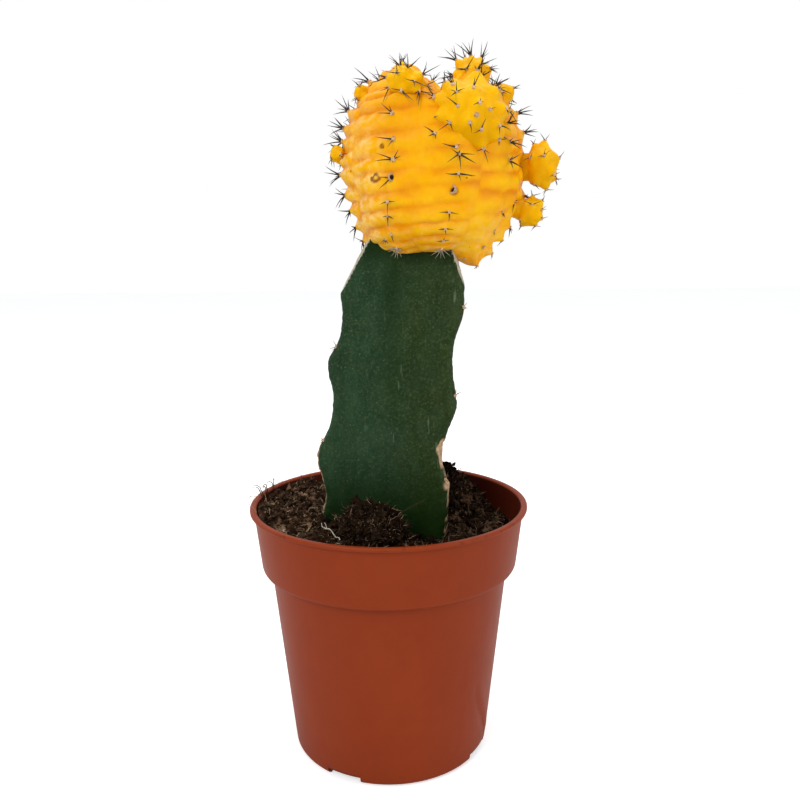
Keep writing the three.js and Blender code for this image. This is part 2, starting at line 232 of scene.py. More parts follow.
def make_specks_group():
    """Sparse round specks with soft edges round some of the points of a Voronoi pattern."""
    tree, mix, given, out = make_group("specks", {"Scale": 300.0, "Size": 0.2, "Share": 0.4})
    cells = mix.node("ShaderNodeTexVoronoi", {"Vector": mix.place, "Scale": given["Scale"]})
    near = mix.ramp(mix.math("DIVIDE", cells.outputs["Distance"], given["Size"]), 1.0, 0.5)
    pick = mix.node("ShaderNodeSeparateColor", {0: cells.outputs["Color"]}).outputs[0]
    kept = mix.math("LESS_THAN", pick, given["Share"])
    mix.fill(out, mix.times(near, kept))
    return tree


def make_mottle_group():
    """Two sizes of cloudy noise added, with more contrast about the middle, kept within 0..1."""
    tree, mix, given, out = make_group("mottle", {"Scale": 60.0, "Contrast": 2.0})
    broad = mix.noise(given["Scale"], 4)
    fine = mix.noise(mix.times(given["Scale"], 4.3), 4)
    both = mix.plus(mix.times(broad, 0.65), mix.times(fine, 0.35))
    spread = mix.times(mix.math("SUBTRACT", both, 0.5), given["Contrast"])
    mix.fill(out, mix.math("ADD", spread, 0.5, use_clamp=True))
    return tree


SPECKS = make_specks_group()
MOTTLE = make_mottle_group()


class Finish(Mixer):
    """A material in the making. Its patterns are laid out by Object coordinates, in metres, and its tone
    is the colour mixed so far."""

    def __init__(self, name):
        self.material = bpy.data.materials.new(name)
        self.material.use_nodes = True
        super().__init__(self.material.node_tree)
        self.tree.nodes.clear()
        self.shader = self.node("ShaderNodeBsdfPrincipled")
        self.node("ShaderNodeOutputMaterial", {"Surface": self.shader.outputs[0]})
        self.place = self.node("ShaderNodeTexCoord").outputs["Object"]
        self.tone = self.normal = None

    def attribute(self, name):
        """One of the numbers that the piece's vertices carry."""
        return self.node("ShaderNodeAttribute", attribute_name=name).outputs["Fac"]

    def specks(self, scale, size, share, stretch=None):
        inputs = {"Vector": self.laid(stretch), "Scale": scale, "Size": size, "Share": share}
        return self.node("ShaderNodeGroup", inputs, node_tree=SPECKS).outputs["Mask"]

    def mottle(self, scale, contrast, stretch=None):
        inputs = {"Vector": self.laid(stretch), "Scale": scale, "Contrast": contrast}
        return self.node("ShaderNodeGroup", inputs, node_tree=MOTTLE).outputs["Mask"]

    def paint(self, mask, colour, strength=None):
        """Lays a colour over the tone where the mask is 1, only as strongly as strength says."""
        if strength is not None:
            mask = self.times(mask, strength)
        self.tone = self.blend(mask, self.tone, colour)

    def bump(self, height, distance, strength=1.0):
        """Adds a bump of a height in 0..1 over a distance in metres to the bumps before it."""
        inputs = {"Height": height, "Distance": distance, "Strength": strength}
        if self.normal is not None:
            inputs["Normal"] = self.normal
        self.normal = self.node("ShaderNodeBump", inputs).outputs[0]
        self.fill(self.shader.inputs["Normal"], self.normal)

    def done(self, settings):
        """Gives the shader its tone and its other settings. Returns the material."""
        for label, value in {"Base Color": self.tone, **settings}.items():
            self.fill(self.shader.inputs[label], value)
        return self.material


# ---- materials ---------------------------------------------------------------------------------------

def floor_material():
    """A matt, nearly white ground that glows where the camera sees it."""
    finish = Finish("pale_floor")
    finish.tone = finish.blend(finish.mottle(3.0, 1.2), (0.86, 0.86, 0.86), (0.9, 0.9, 0.9))
    seen = finish.node("ShaderNodeLightPath").outputs["Is Camera Ray"]
    return finish.done({
        "Emission Color": finish.tone,
        "Emission Strength": finish.times(seen, 0.62),
        "Roughness": 0.9,
        "Specular IOR Level": 0.0,
    })


def pot_material():
    """Moulded terracotta-coloured plastic: a slightly cloudy tone, faint upright flow lines, a satin
    finish with rubbed patches, an inside darkened by painted shade and a film of peat, and smears of
    peat there and on the rim."""
    finish = Finish("pot_plastic")
    finish.tone = finish.blend(finish.mottle(45.0, 2.2), (0.245, 0.031, 0.0055), (0.285, 0.039, 0.0075))
    upright = finish.noise(1.0, stretch=(190, 190, 12))
    finish.paint(upright, (0.215, 0.034, 0.0065), 0.4)
    # painted shade and peat film: the whole inside wall is darkened as if shaded inside the pot
    finish.paint(finish.attribute("inside"), (0.042, 0.005, 0.002), 0.85)
    grains = finish.ramp(finish.noise(900.0, 5, 0.7), 0.46, 0.62)
    dusty = finish.times(finish.attribute("dust"), grains)
    finish.paint(dusty, (0.035, 0.018, 0.011))
    finish.paint(finish.specks(420.0, 0.1, 0.12), (0.12, 0.03, 0.014), 0.5)

    rubbed = finish.mottle(80.0, 2.6, stretch=(1, 1, 0.6))
    gloss = finish.ramp(finish.plus(rubbed, finish.times(dusty, 2.0)), 0.0, 1.6, clamp=False)
    rough = finish.node("ShaderNodeMapRange", {"Value": gloss, "To Min": 0.36, "To Max": 0.52})
    finish.bump(upright, 0.00004, 0.6)
    finish.bump(finish.noise(1500.0), 0.00003, 0.5)
    return finish.done({
        "Roughness": rough.outputs[0],
        "Specular IOR Level": 0.06,
        "Coat Weight": 0.1,
        "Coat Roughness": 0.35,
    })


def peat_material(name, dark, warm, pale):
    """Peat: a nearly black ground with warmer patches, some reddish, some olive, pale fibre flecks, painted
    shade in the hollows and a coarse bump, and painted shade towards the right. The tone attribute makes
    one crumb or spot lighter than the next."""
    finish = Finish(name)
    finish.tone = finish.blend(finish.mottle(300.0, 3.8), dark, warm)
    finish.paint(finish.math("POWER", finish.attribute("tone"), 1.3), pale)
    finish.paint(finish.mottle(210.0, 5.0), (0.06, 0.02, 0.011), 0.22)
    finish.paint(finish.mottle(150.0, 6.0, stretch=(1, 1.3, 1)), (0.06, 0.047, 0.018), 0.16)
    flecks = finish.ramp(finish.noise(1.0, 4, 0.7, stretch=(1400, 500, 800)), 0.6, 0.7)
    finish.paint(flecks, (0.24, 0.16, 0.1), 0.6)
    # painted shade: near-black clouds that stand in for the shade in the hollows between crumbs
    hollows = finish.ramp(finish.noise(700.0, 4, 0.7), 0.52, 0.36)
    finish.paint(hollows, (0.002, 0.0012, 0.0008), 0.8)
    # painted shade: the peat is darkened towards the right, the side that lies in shade
    aside = finish.node("ShaderNodeSeparateXYZ", {0: finish.place}).outputs[0]
    finish.paint(finish.ramp(aside, -0.012, 0.03), (0.004, 0.0022, 0.0014), 0.55)
    finish.bump(finish.noise(1300.0, 6, 0.75), 0.0007)
    return finish.done({"Roughness": 0.92, "Specular IOR Level": 0.02})


def fibre_material():
    """Dry fibre, from dark brown to straw from one strand to the next."""
    finish = Finish("peat_fibre")
    finish.tone = finish.blend(finish.attribute("tone"), (0.02, 0.01, 0.005), (0.6, 0.4, 0.24))
    finish.paint(finish.noise(900.0), (0.06, 0.035, 0.018), 0.4)
    return finish.done({"Roughness": 0.8, "Specular IOR Level": 0.15})


def straw_material():
    """Dry, pale straw with a mottled tone and grain."""
    finish = Finish("pale_straw")
    mottled = finish.mottle(700.0, 2.6)
    finish.tone = finish.blend(mottled, (0.32, 0.27, 0.2), (0.66, 0.6, 0.5))
    finish.bump(mottled, 0.0001, 0.5)
    return finish.done({"Roughness": 0.75})


def rootstock_material():
    """Waxy dark green skin: clouds of three sizes, a fine pale grain, bluish on the left and olive to
    brownish on the right, with a few pale blurs and scratches, painted shade where the shade attribute
    says, pale where it was cut, and tan cork along the rib margins and in old wounds."""
    finish = Finish("rootstock_skin")
    cloudy = finish.mottle(70.0, 2.8)
    left = finish.blend(cloudy, (0.0095, 0.034, 0.0125), (0.021, 0.056, 0.0265))
    right = finish.blend(cloudy, (0.0115, 0.031, 0.0045), (0.03, 0.042, 0.0075))
    finish.tone = finish.blend(finish.attribute("olive"), left, right)
    bloom = finish.mottle(260.0, 4.4, stretch=(1, 1, 0.6))
    finish.paint(bloom, (0.038, 0.068, 0.031), 0.45)
    finish.paint(finish.mottle(130.0, 4.6, stretch=(1, 1, 0.35)), (0.006, 0.019, 0.006), 0.5)
    grain = finish.ramp(finish.noise(1300.0, 5, 0.85), 0.5, 0.64)
    finish.paint(grain, (0.078, 0.12, 0.052), 0.5)
    finish.paint(finish.specks(900.0, 0.2, 0.2), (0.16, 0.22, 0.14), 0.35)
    finish.paint(finish.specks(150.0, 0.15, 0.1, stretch=(1, 1, 0.8)), (0.14, 0.24, 0.17), 0.13)
    scratches = finish.ramp(finish.noise(1.0, 2, 0.4, stretch=(700, 700, 130)), 0.7, 0.78)
    finish.paint(scratches, (0.2, 0.26, 0.17), 0.3)
    # painted shade: darker under the head, near the peat and down the middle of the front face
    finish.paint(finish.attribute("shade"), (0.0045, 0.0175, 0.0014), 0.88)

    cork, cut = finish.attribute("cork"), finish.attribute("cut")
    cork_grain = finish.noise(800.0, 4, 0.7)
    corky = finish.blend(finish.ramp(cork_grain, 0.3, 0.7), (0.36, 0.2, 0.1), (0.72, 0.52, 0.33))
    finish.paint(cork, corky)
    sliced = finish.blend(finish.ramp(cork_grain, 0.35, 0.65), (0.36, 0.33, 0.25), (0.66, 0.61, 0.5))
    finish.paint(cut, sliced)

    dull = finish.math("MAXIMUM", cork, cut)
    wax = finish.plus(finish.times(bloom, 0.16), finish.times(dull, 0.35))
    finish.bump(finish.noise(700.0, 4, 0.6), 0.00018, 0.8)
    finish.bump(finish.times(dull, cork_grain), 0.0005, 0.8)
    return finish.done({"Roughness": finish.plus(wax, 0.42), "Specular IOR Level": 0.06})


def scion_material(name, valley, flank, crest, pale):
    """Succulent yellow skin. The swell attribute runs from the furrows to the crests of the bands, and the
    tone follows it as painted shade in the furrows and a painted highlight on the crests. Bloom marks the
    paler parts, partly wax bloom and partly a painted highlight where the skin faces the light. Warm
    marks young tissue on the crown and painted shade at the graft and on undersides, and scar marks
    rusty rings. Broad clouds shift the tone, cream patches and scuffs lie over it, and there are small
    rusty scars and dark dots."""
    finish = Finish(name)
    broad = finish.math("SUBTRACT", finish.mottle(62.0, 2.2), 0.5)
    cloudy = finish.math("SUBTRACT", finish.mottle(150.0, 2.2), 0.5)
    height = finish.plus(finish.attribute("swell"), finish.times(broad, 1.15))
    height = finish.plus(height, finish.times(cloudy, 0.7))
    # painted shade and highlight: valley colour in the furrows, crest colour on the crests
    finish.tone = finish.blend(finish.ramp(height, -0.25, 0.5), valley, flank)
    finish.paint(finish.ramp(height, 0.45, 1.15), crest)
    fine = finish.noise(330.0, 4, stretch=(1, 1, 1.7))
    # partly painted highlight: the bloom attribute lies where the skin faces the light, over real waxy bloom
    milky = finish.times(finish.attribute("bloom"), finish.ramp(fine, 0.42, 0.62))
    patches = finish.mottle(120.0, 4.5, stretch=(1, 1, 1.4))
    finish.paint(finish.plus(finish.times(milky, 0.85), finish.times(patches, 0.04)), pale)
    # partly painted shade: warm lays the valley colour on undersides and at the graft; on the crown it is
    # young tissue
    finish.paint(finish.attribute("warm"), valley, 0.8)

    finish.paint(finish.specks(300.0, 0.09, 0.1, stretch=(1, 1, 0.55)), (0.95, 0.75, 0.38), 0.45)
    finish.paint(finish.specks(190.0, 0.085, 0.2), (0.32, 0.075, 0.012), 0.75)
    finish.paint(finish.specks(260.0, 0.05, 0.16), (0.06, 0.02, 0.01), 0.85)
    finish.paint(finish.attribute("scar"), (0.17, 0.03, 0.01), 0.85)

    finish.bump(finish.noise(420.0, 4, 0.6), 0.00025, 0.7)
    finish.bump(finish.noise(2200.0, 2), 0.00004, 0.6)
    return finish.done({
        "Roughness": finish.plus(finish.times(fine, 0.16), 0.26),
        "Specular IOR Level": 0.04,
        "Subsurface Weight": 0.12,
        "Subsurface Radius": (1.0, 0.6, 0.05),
        "Subsurface Scale": 0.003,
    })


def spine_material():
    """Horn: brown at the foot, nearly black in the middle, dark brown towards the tip, cloudy, and paler
    where the tone attribute is higher."""
    finish = Finish("spine_horn")
    along = finish.attribute("along")
    finish.tone = finish.blend(finish.ramp(along, 0.0, 0.2), (0.075, 0.045, 0.028), (0.014, 0.0105, 0.0065))
    finish.paint(finish.ramp(along, 0.5, 1.0), (0.05, 0.028, 0.015))
    finish.paint(finish.attribute("tone"), (0.34, 0.29, 0.22))
    finish.paint(finish.noise(1700.0, 2), (0.03, 0.015, 0.01), 0.35)
    return finish.done({"Roughness": 0.5, "Specular IOR Level": 0.3})


def felt_material():
    """Short tan to cream felt, browner where the tone attribute is higher."""
    finish = Finish("areole_felt")
    fuzz = finish.noise(2600.0, 4, 0.7)
    finish.tone = finish.blend(finish.ramp(fuzz, 0.35, 0.65), (0.55, 0.31, 0.16), (0.95, 0.68, 0.43))
    finish.paint(finish.attribute("tone"), (0.085, 0.042, 0.022))
    finish.bump(fuzz, 0.0002, 0.9)
    return finish.done({"Roughness": 0.95, "Specular IOR Level": 0.03, "Sheen Weight": 0.05})


def pit_shade_material():
    """The near-black floor of an empty areole, painted shade of the hole, with a crusty mottle."""
    finish = Finish("areole_pit_shade")
    crust = finish.mottle(1200.0, 3.0)
    finish.tone = finish.blend(crust, (0.012, 0.006, 0.005), (0.05, 0.022, 0.014))
    finish.bump(crust, 0.0002, 0.8)
    return finish.done({"Roughness": 0.9})


# ---- surfaces as arrays ------------------------------------------------------------------------------

TAU = 2 * np.pi
LATTICE = np.random.default_rng(7).uniform(-1, 1, 256)
SHUFFLE = np.random.default_rng(8).permutation(256)
OCTAVE_SHIFT = 19.7  # cells between the parts of the lattice that two octaves read


def unit(vectors):
    """The vectors divided by their lengths."""
    return vectors / np.maximum(np.linalg.norm(vectors, axis=-1, keepdims=True), 1e-12)


def smooth(values, low, high):
    """0 below low, 1 above high and an S-shaped rise between. With low above high it falls instead."""
    t = np.clip((values - low) / (high - low), 0, 1)
    return t * t * (3 - 2 * t)


def cloud(points, size, octaves=1):
    """Smooth noise about 0: a random value in -1..1 at each corner of a lattice of cubes of this size,
    faded from corner to corner. Each further octave is half as large and half as strong, from another
    part of the lattice."""
    total = np.zeros(points.shape[:-1])
    for octave in range(octaves):
        cell = points * (2 ** octave / size) + OCTAVE_SHIFT * octave
        low = np.floor(cell).astype(int)
        part = cell - low
        part = part * part * (3 - 2 * part)
        for corner in np.ndindex(2, 2, 2):
            index = (low + corner) & 255
            key = SHUFFLE[(SHUFFLE[(SHUFFLE[index[..., 0]] + index[..., 1]) & 255] + index[..., 2]) & 255]
            weight = np.prod(np.where(np.array(corner) == 1, part, 1 - part), axis=-1)
            total += weight * LATTICE[key] / 2 ** octave
    return total


def with_ends(field, start, end):
    """A field over rings of points, followed by its values at the two points that close the ends."""
    return np.concatenate([field.ravel(), [start, end]])


def around(columns):
    """This many evenly spaced angles round a full turn."""
    return np.arange(columns) * TAU / columns


def closed_skin(rings, start, end):
    """A closed surface from rings of points, shape (rows, columns, 3), that run anticlockwise as seen
    from the end, with one point that closes each end. Gives its vertices and faces."""
    rows, columns = rings.shape[:2]
    here = np.arange(rows * columns).reshape(rows, columns)
    beside = np.roll(here, -1, axis=1)
    quads = np.stack([here[:-1], beside[:-1], beside[1:], here[1:]], axis=-1).reshape(-1, 4)
    first = np.full(columns, rows * columns)
    caps = np.concatenate([
        np.stack([first, beside[0], here[0]], axis=-1),
        np.stack([first + 1, here[-1], beside[-1]], axis=-1),
    ])
    return np.concatenate([rings.reshape(-1, 3), [start], [end]]), [quads, caps]


def copies(vertices, faces):
    """Many closed skins of one pattern as one shape: vertices are (copies, points, 3), and the faces of
    the first copy are repeated for each."""
    count, points = vertices.shape[:2]
    steps = (np.arange(count) * points)[:, None, None]
    return vertices.reshape(-1, 3), [(part[None] + steps).reshape(-1, part.shape[1]) for part in faces]


def tubes(paths, radii, sides):
    """Round tubes, one along each path. Paths are (tubes, steps, 3) and radii (tubes, steps). Each ring
    stands square to its path, and a point closes each end."""
    count, steps = radii.shape
    along = unit(np.gradient(paths, axis=1))
    mean = unit(along.mean(axis=1))
    aside = np.eye(3)[np.argmin(np.abs(mean), axis=1)][:, None]
    side = unit(np.cross(along, aside))
    up = np.cross(along, side)
    turn = around(sides)
    spokes = side[:, :, None] * np.cos(turn)[:, None] + up[:, :, None] * np.sin(turn)[:, None]
    rings = paths[:, :, None] + radii[:, :, None, None] * spokes
    flat = rings.reshape(count, steps * sides, 3)
    vertices = np.concatenate([flat, paths[:, :1], paths[:, -1:]], axis=1)
    pattern = closed_skin(np.zeros((steps, sides, 3)), np.zeros(3), np.zeros(3))[1]
    return copies(vertices, pattern)


def per_tube(values, steps, sides):
    """One number for each tube, or for each step of each tube, spread over its vertices."""
    values = np.asarray(values, float)
    if values.ndim == 1:
        values = np.repeat(values[:, None], steps, axis=1)
    rings = np.repeat(values, sides, axis=1)
    return np.concatenate([rings, values[:, :1], values[:, -1:]], axis=1).ravel()


def icosahedron():
    """The twelve corners and twenty faces of an icosahedron of radius 1."""
    golden = (1 + 5 ** 0.5) / 2
    flat = np.array([(0, a, b * golden) for a in (-1, 1) for b in (-1, 1)], float)
    corners = unit(np.concatenate([flat, flat[:, [2, 0, 1]], flat[:, [1, 2, 0]]]))
    near = np.linalg.norm(corners[:, None] - corners, axis=-1) < 1.1
    faces = [(a, b, c) for a in range(12) for b in range(a + 1, 12) for c in range(b + 1, 12)
             if near[a, b] and near[b, c] and near[a, c]]
    faces = np.array(faces)
    a, b, c = (corners[faces[:, k]] for k in range(3))
    inward = np.einsum("ij,ij->i", np.cross(b - a, c - a), a) < 0
    faces[inward] = faces[inward][:, [0, 2, 1]]
    return corners, faces


CRUMB_SQUASH = 0.45
CRUMB_STRETCH = 2.2
CRUMB_ROUGHNESS = 0.62


def crumbs(centres, sizes, rng):
    """Rough lumps: an icosahedron at each centre, turned at random, made longer or shorter along each
    axis, drawn out along one of them by up to about three times, and with each corner moved in or out."""
    corners, faces = icosahedron()
    count = len(centres)
    turn = np.linalg.qr(rng.normal(size=(count, 3, 3)))[0]
    turn *= np.sign(np.linalg.det(turn))[:, None, None]
    axes = 1 + CRUMB_SQUASH * rng.uniform(-1, 1, (count, 1, 3))
    axes[..., 0] *= 1 + CRUMB_STRETCH * rng.uniform(0, 1, (count, 1)) ** 2
    body = corners * axes * (1 + CRUMB_ROUGHNESS * rng.uniform(-1, 1, (count, len(corners), 1)))
    placed = centres[:, None] + sizes[:, None, None] * np.einsum("nij,nkj->nki", turn, body)
    return copies(placed, [faces])


def stamped(profile, columns, places, right, up, normal, sizes, rng, rough):
    """Small lens-like bodies on a surface. The profile is a list of (radius, height) from the underside
    to the top. Each place has its own right, up and normal directions and its own size. The roughness is
    the largest share by which a point's coordinates grow or shrink, each at random."""
    turn = around(columns)
    spokes = np.stack([np.cos(turn), np.sin(turn)], axis=-1)
    rings = [np.column_stack([radius * spokes, np.full(columns, height)]) for radius, height in profile[1:-1]]
    vertices, faces = closed_skin(np.array(rings), (0, 0, profile[0][1]), (0, 0, profile[-1][1]))
    body = np.repeat(vertices[None], len(places), axis=0)
    body = body * (1 + rough * rng.uniform(-1, 1, body.shape))
    axes = np.stack([right, up, normal], axis=1)
    return copies(places[:, None] + sizes[:, None, None] * np.einsum("nki,nij->nkj", body, axes), faces)


def merged(shapes):
    """Several shapes with the same fields as one: (vertices, faces, fields)."""
    offset = 0
    faces = []
    for vertices, parts, _ in shapes:
        faces += [part + offset for part in parts]
        offset += len(vertices)
    fields = {label: np.concatenate([shape[2][label] for shape in shapes]) for label in shapes[0][2]}
    return np.concatenate([shape[0] for shape in shapes]), faces, fields


def make_piece(name, shape, material, stands_for=None, flat=False):
    """A piece from a shape in millimetres: vertices, arrays of faces, and fields of one number for each
    vertex. It rides on the one body, takes the given material and may stand for a CAD node."""
    vertices, faces, fields = shape
    corners = np.concatenate([part.ravel() for part in faces]).astype(np.int32)
    sizes = np.concatenate([np.full(len(part), part.shape[1]) for part in faces])
    starts = np.concatenate([[0], np.cumsum(sizes)[:-1]]).astype(np.int32)
    mesh = bpy.data.meshes.new(name)
    mesh.vertices.add(len(vertices))
    mesh.vertices.foreach_set("co", (vertices * MM).astype(np.float32).ravel())
    mesh.loops.add(len(corners))
    mesh.loops.foreach_set("vertex_index", corners)
    mesh.polygons.add(len(sizes))
    mesh.polygons.foreach_set("loop_start", starts)
    mesh.polygons.foreach_set("use_smooth", np.full(len(sizes), not flat))
    for label, values in fields.items():
        data = mesh.attributes.new(label, "FLOAT", "POINT").data
        data.foreach_set("value", np.asarray(values, np.float32))
    mesh.update(calc_edges=True)
    mesh.materials.append(material)
    piece = add_object(name, mesh)
    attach(piece, "root")
    if stands_for:
        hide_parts(stands_for)
    return piece


def stand_on(surface, u, v, inside):
    """Point, right, up and normal of surface(u, v) at many places. The normal comes from small steps of
    both parameters and points away from inside. Up is as near to +Z as the surface lets it be, or to +Y
    where the surface is nearly level."""
    step = 1e-3
    point = surface(u, v)
    across = surface(u + step, v) - surface(u - step, v)
    along = surface(u, v + step) - surface(u, v - step)
    normal = unit(np.cross(across, along))
    normal *= np.where(np.sum(normal * (point - inside), axis=-1) < 0, -1, 1)[..., None]
    up = np.array([0, 0, 1.0]) - normal * normal[..., 2:]
    level = np.linalg.norm(up, axis=-1, keepdims=True) < 0.15
    up = unit(np.where(level, np.array([0, 1.0, 0]) - normal * normal[..., 1:2], up))
    return point, np.cross(up, normal), up, normal


# ---- pot ---------------------------------------------------------------------------------------------

POT_COLUMNS = 240
CORNER_POINTS = 6
RING_GAP = 2.0  # about how far apart the rings of the pot's straight walls are
CREASE_HEIGHTS, CREASE_TURNS = (6, 17, 25), (-18, -32, -40)  # degrees round from the right


def pot_profile():
    """Radius and height round the wall of the pot, from the middle of the underside up the outside and
    back down the inside. Each corner is a curve between the two points that stand back from it."""
    rim_foot = RIM_Z - 1.25
    slope = (BODY_TOP_RADIUS - FOOT_RADIUS) / COLLAR_FOOT_Z
    corners = [  # radius, height, how far the rounding reaches
        (0, 0, 0), (FOOT_RADIUS - 1.6, 0, 0.3), (FOOT_RADIUS - 1.2, 0.35, 0.2), (FOOT_RADIUS, 1.1, 0.8),
        (BODY_TOP_RADIUS, COLLAR_FOOT_Z - 0.9, 0.5), (COLLAR_FOOT_RADIUS - 0.7, COLLAR_FOOT_Z - 0.3, 0.5),
        (COLLAR_FOOT_RADIUS, COLLAR_FOOT_Z + 0.5, 0.6), (COLLAR_TOP_RADIUS - 0.15, rim_foot - 0.15, 0.3),
        (RIM_RADIUS, rim_foot + 0.15, 0.4), (RIM_RADIUS, RIM_Z, 0.6),
        (COLLAR_TOP_RADIUS - WALL + 0.2, RIM_Z, 0.7), (COLLAR_TOP_RADIUS - WALL, RIM_Z - 1.3, 0.5),
        (COLLAR_FOOT_RADIUS - WALL, COLLAR_FOOT_Z + 1.6, 1.0),
        (BODY_TOP_RADIUS - WALL, COLLAR_FOOT_Z + 0.6, 1.0),
        (FOOT_RADIUS + FLOOR * slope - WALL, FLOOR, 1.5), (0, FLOOR, 0),
    ]
    points = np.array([corner[:2] for corner in corners], float)
    profile = [points[:1]]
    t = np.linspace(0, 1, CORNER_POINTS)[:, None]
    for k in range(1, len(points) - 1):
        reach = corners[k][2]
        before = points[k] + reach * unit(points[k - 1] - points[k])
        after = points[k] + reach * unit(points[k + 1] - points[k])
        profile.append((1 - t) ** 2 * before + 2 * t * (1 - t) * points[k] + t ** 2 * after)
    profile.append(points[-1:])
    dense = np.concatenate(profile)
    gaps = np.linalg.norm(np.diff(dense, axis=0), axis=1)
    reach = np.concatenate([[0], np.cumsum(gaps)])
    extra = [np.linspace(low, high, max(2, int(gap / RING_GAP) + 1))[1:-1]
             for low, high, gap in zip(reach[:-1], reach[1:], gaps)]
    stations = np.sort(np.concatenate([reach, *extra]))
    return np.column_stack([np.interp(stations, reach, dense[:, axis]) for axis in (0, 1)])


def pot_shape():
    """The profile turned round the axis, out of round by up to 0.15 mm, with a soft crease pressed into
    the wall low on the right. Dust lies on the inner wall just above the peat and in patches on the
    rim."""
    profile = pot_profile()[1:-1]
    turn = around(POT_COLUMNS)
    radius = profile[:, :1] + 0 * turn
    height = profile[:, 1:] + 0 * turn
    wobble = 0.07 * np.sin(2 * turn + 0.6) + 0.05 * np.sin(3 * turn + 2.0) + 0.03 * np.sin(7 * turn)
    radius = radius + wobble * smooth(height, 0, 10) * (radius > 5)
    crease_turn = np.radians(np.interp(height, CREASE_HEIGHTS, CREASE_TURNS))
    aside = (turn - TAU - crease_turn) * radius
    depth = 0.4 * smooth(height, 2, 6) * smooth(height, 28, 22) * (radius > FOOT_RADIUS - 1)
    radius = radius - depth * np.exp(-(aside / 0.9) ** 2) + 0.4 * depth * np.exp(-((aside - 2.4) / 1.6) ** 2)
    rings = np.stack([radius * np.cos(turn), radius * np.sin(turn), height], axis=-1)
    vertices, faces = closed_skin(rings, (0, 0, 0), (0, 0, FLOOR))
    row = with_ends(np.repeat(np.arange(len(profile)), POT_COLUMNS), 0, len(profile))
    # the inside mask carries the inner wall's painted shade
    inner = row > np.argmax(profile[:, 1]) + 5
    above = vertices[:, 2] - soil_height(vertices[:, 0], vertices[:, 1])
    dust = inner * smooth(above, 6, -1) * (0.75 + 0.5 * cloud(vertices, 5.0, 2))
    rim = smooth(vertices[:, 2], RIM_Z - 2, RIM_Z) * smooth(cloud(vertices, 2.2, 2), 0.25, 0.6)
    return vertices, faces, {"dust": np.clip(dust + 0.5 * rim, 0, 1), "inside": inner}


def drain_cutter():
    """One block for each drain slot, through the foot of the wall, as a single object."""
    corners = np.array([(x, y, z) for x in (-1, 1) for y in (0, 1) for z in (-1, 1)], float)
    block = corners * (DRAIN_WIDTH / 2, -DRAIN_LENGTH, DRAIN_HEIGHT) - (0, DRAIN_INNER, 0)
    sides = np.array([(2, 3, 1, 0), (5, 7, 6, 4), (1, 5, 4, 0), (6, 7, 3, 2), (4, 6, 2, 0), (3, 7, 5, 1)])
    turns = [Matrix.Rotation(DRAIN_FIRST + angle, 3, "Z") for angle in around(DRAIN_SLOTS)]
    vertices, faces = copies(np.array([block @ np.array(turn).T for turn in turns]), [sides])
    mesh = bpy.data.meshes.new("drain_slots")
    mesh.from_pydata(vertices * MM, [], faces[0].tolist())
    return add_object("drain_slots", mesh)


def make_pot():
    """The wall of the pot with the drain slots cut through its foot."""
    pot = make_piece("plant_pot", pot_shape(), pot_material(), "pot")
    cutter = drain_cutter()
    cut = pot.modifiers.new("drain_slots", "BOOLEAN")
    cut.solver = "EXACT"
    cut.object = cutter
    bpy.context.view_layer.update()
    carved = bpy.data.meshes.new_from_object(pot.evaluated_get(bpy.context.evaluated_depsgraph_get()))
    pot.modifiers.clear()
    pot.data = carved
    bpy.data.objects.remove(cutter)


# ---- peat --------------------------------------------------------------------------------------------

def waves(x, y):
    """Smooth repeatable unevenness between -1 and 1, from a few crossed waves."""
    a = np.sin(0.41 * x + 1.3) * np.cos(0.37 * y - 0.6)
    b = np.sin(0.83 * x - 0.71 * y)
    c = np.sin(0.29 * y + 0.97 * x + 2.1) * np.sin(0.88 * y)
    return 0.45 * a + 0.3 * b + 0.25 * c


SOIL_COLUMNS = 340
SOIL_RINGS = 88
SOIL_SIDES = np.array([2.0, 30.0, COLLAR_FOOT_Z - 2, COLLAR_FOOT_Z + 1.2, COLLAR_FOOT_Z + 2.4])
BANKS = [  # where the peat is heaped or sunk: place in plan, rise, radius
    ((22, 27), 9.5, 11),
    ((-27, 22), 2.4, 12),
    ((12, -18), -1.8, 7),
    ((-35, -6), 1.6, 10),
    ((35, 2), 1.5, 5),
    ((33, -14), 1.2, 4),
    ((28, -4), -1.3, 5),
]


def soil_height(x, y):
    """Level of the peat: it falls to the right, with smooth waves and the banks."""
    height = SOIL_LEVEL - SOIL_FALL * x + 0.8 * waves(x, y)
    for (bank_x, bank_y), rise, radius in BANKS:
        height = height + rise * np.exp(-((x - bank_x) ** 2 + (y - bank_y) ** 2) / radius ** 2)
    return height


def wall_radius(z):
    """Inside radius of the pot at a height."""
    heights = FLOOR, COLLAR_FOOT_Z + 0.6, COLLAR_FOOT_Z + 1.6, RIM_Z
    radii = FOOT_RADIUS, BODY_TOP_RADIUS, COLLAR_FOOT_RADIUS, COLLAR_TOP_RADIUS
    return np.interp(z, heights, radii) - WALL


def wall_room(places):
    """How far inside the pot's wall each place lies."""
    return wall_radius(places[:, 2]) - np.hypot(places[:, 0], places[:, 1])


def peat_relief(x, y):
    """Height of the broken surface of the peat above its smooth level: three sizes of lumps."""
    place = np.stack([x, y, np.zeros_like(x)], axis=-1)
    return 1.4 * cloud(place, 4.6, 3) + 1.1 * np.abs(cloud(place, 1.7, 2)) + 0.35 * cloud(place, 0.7) - 0.45


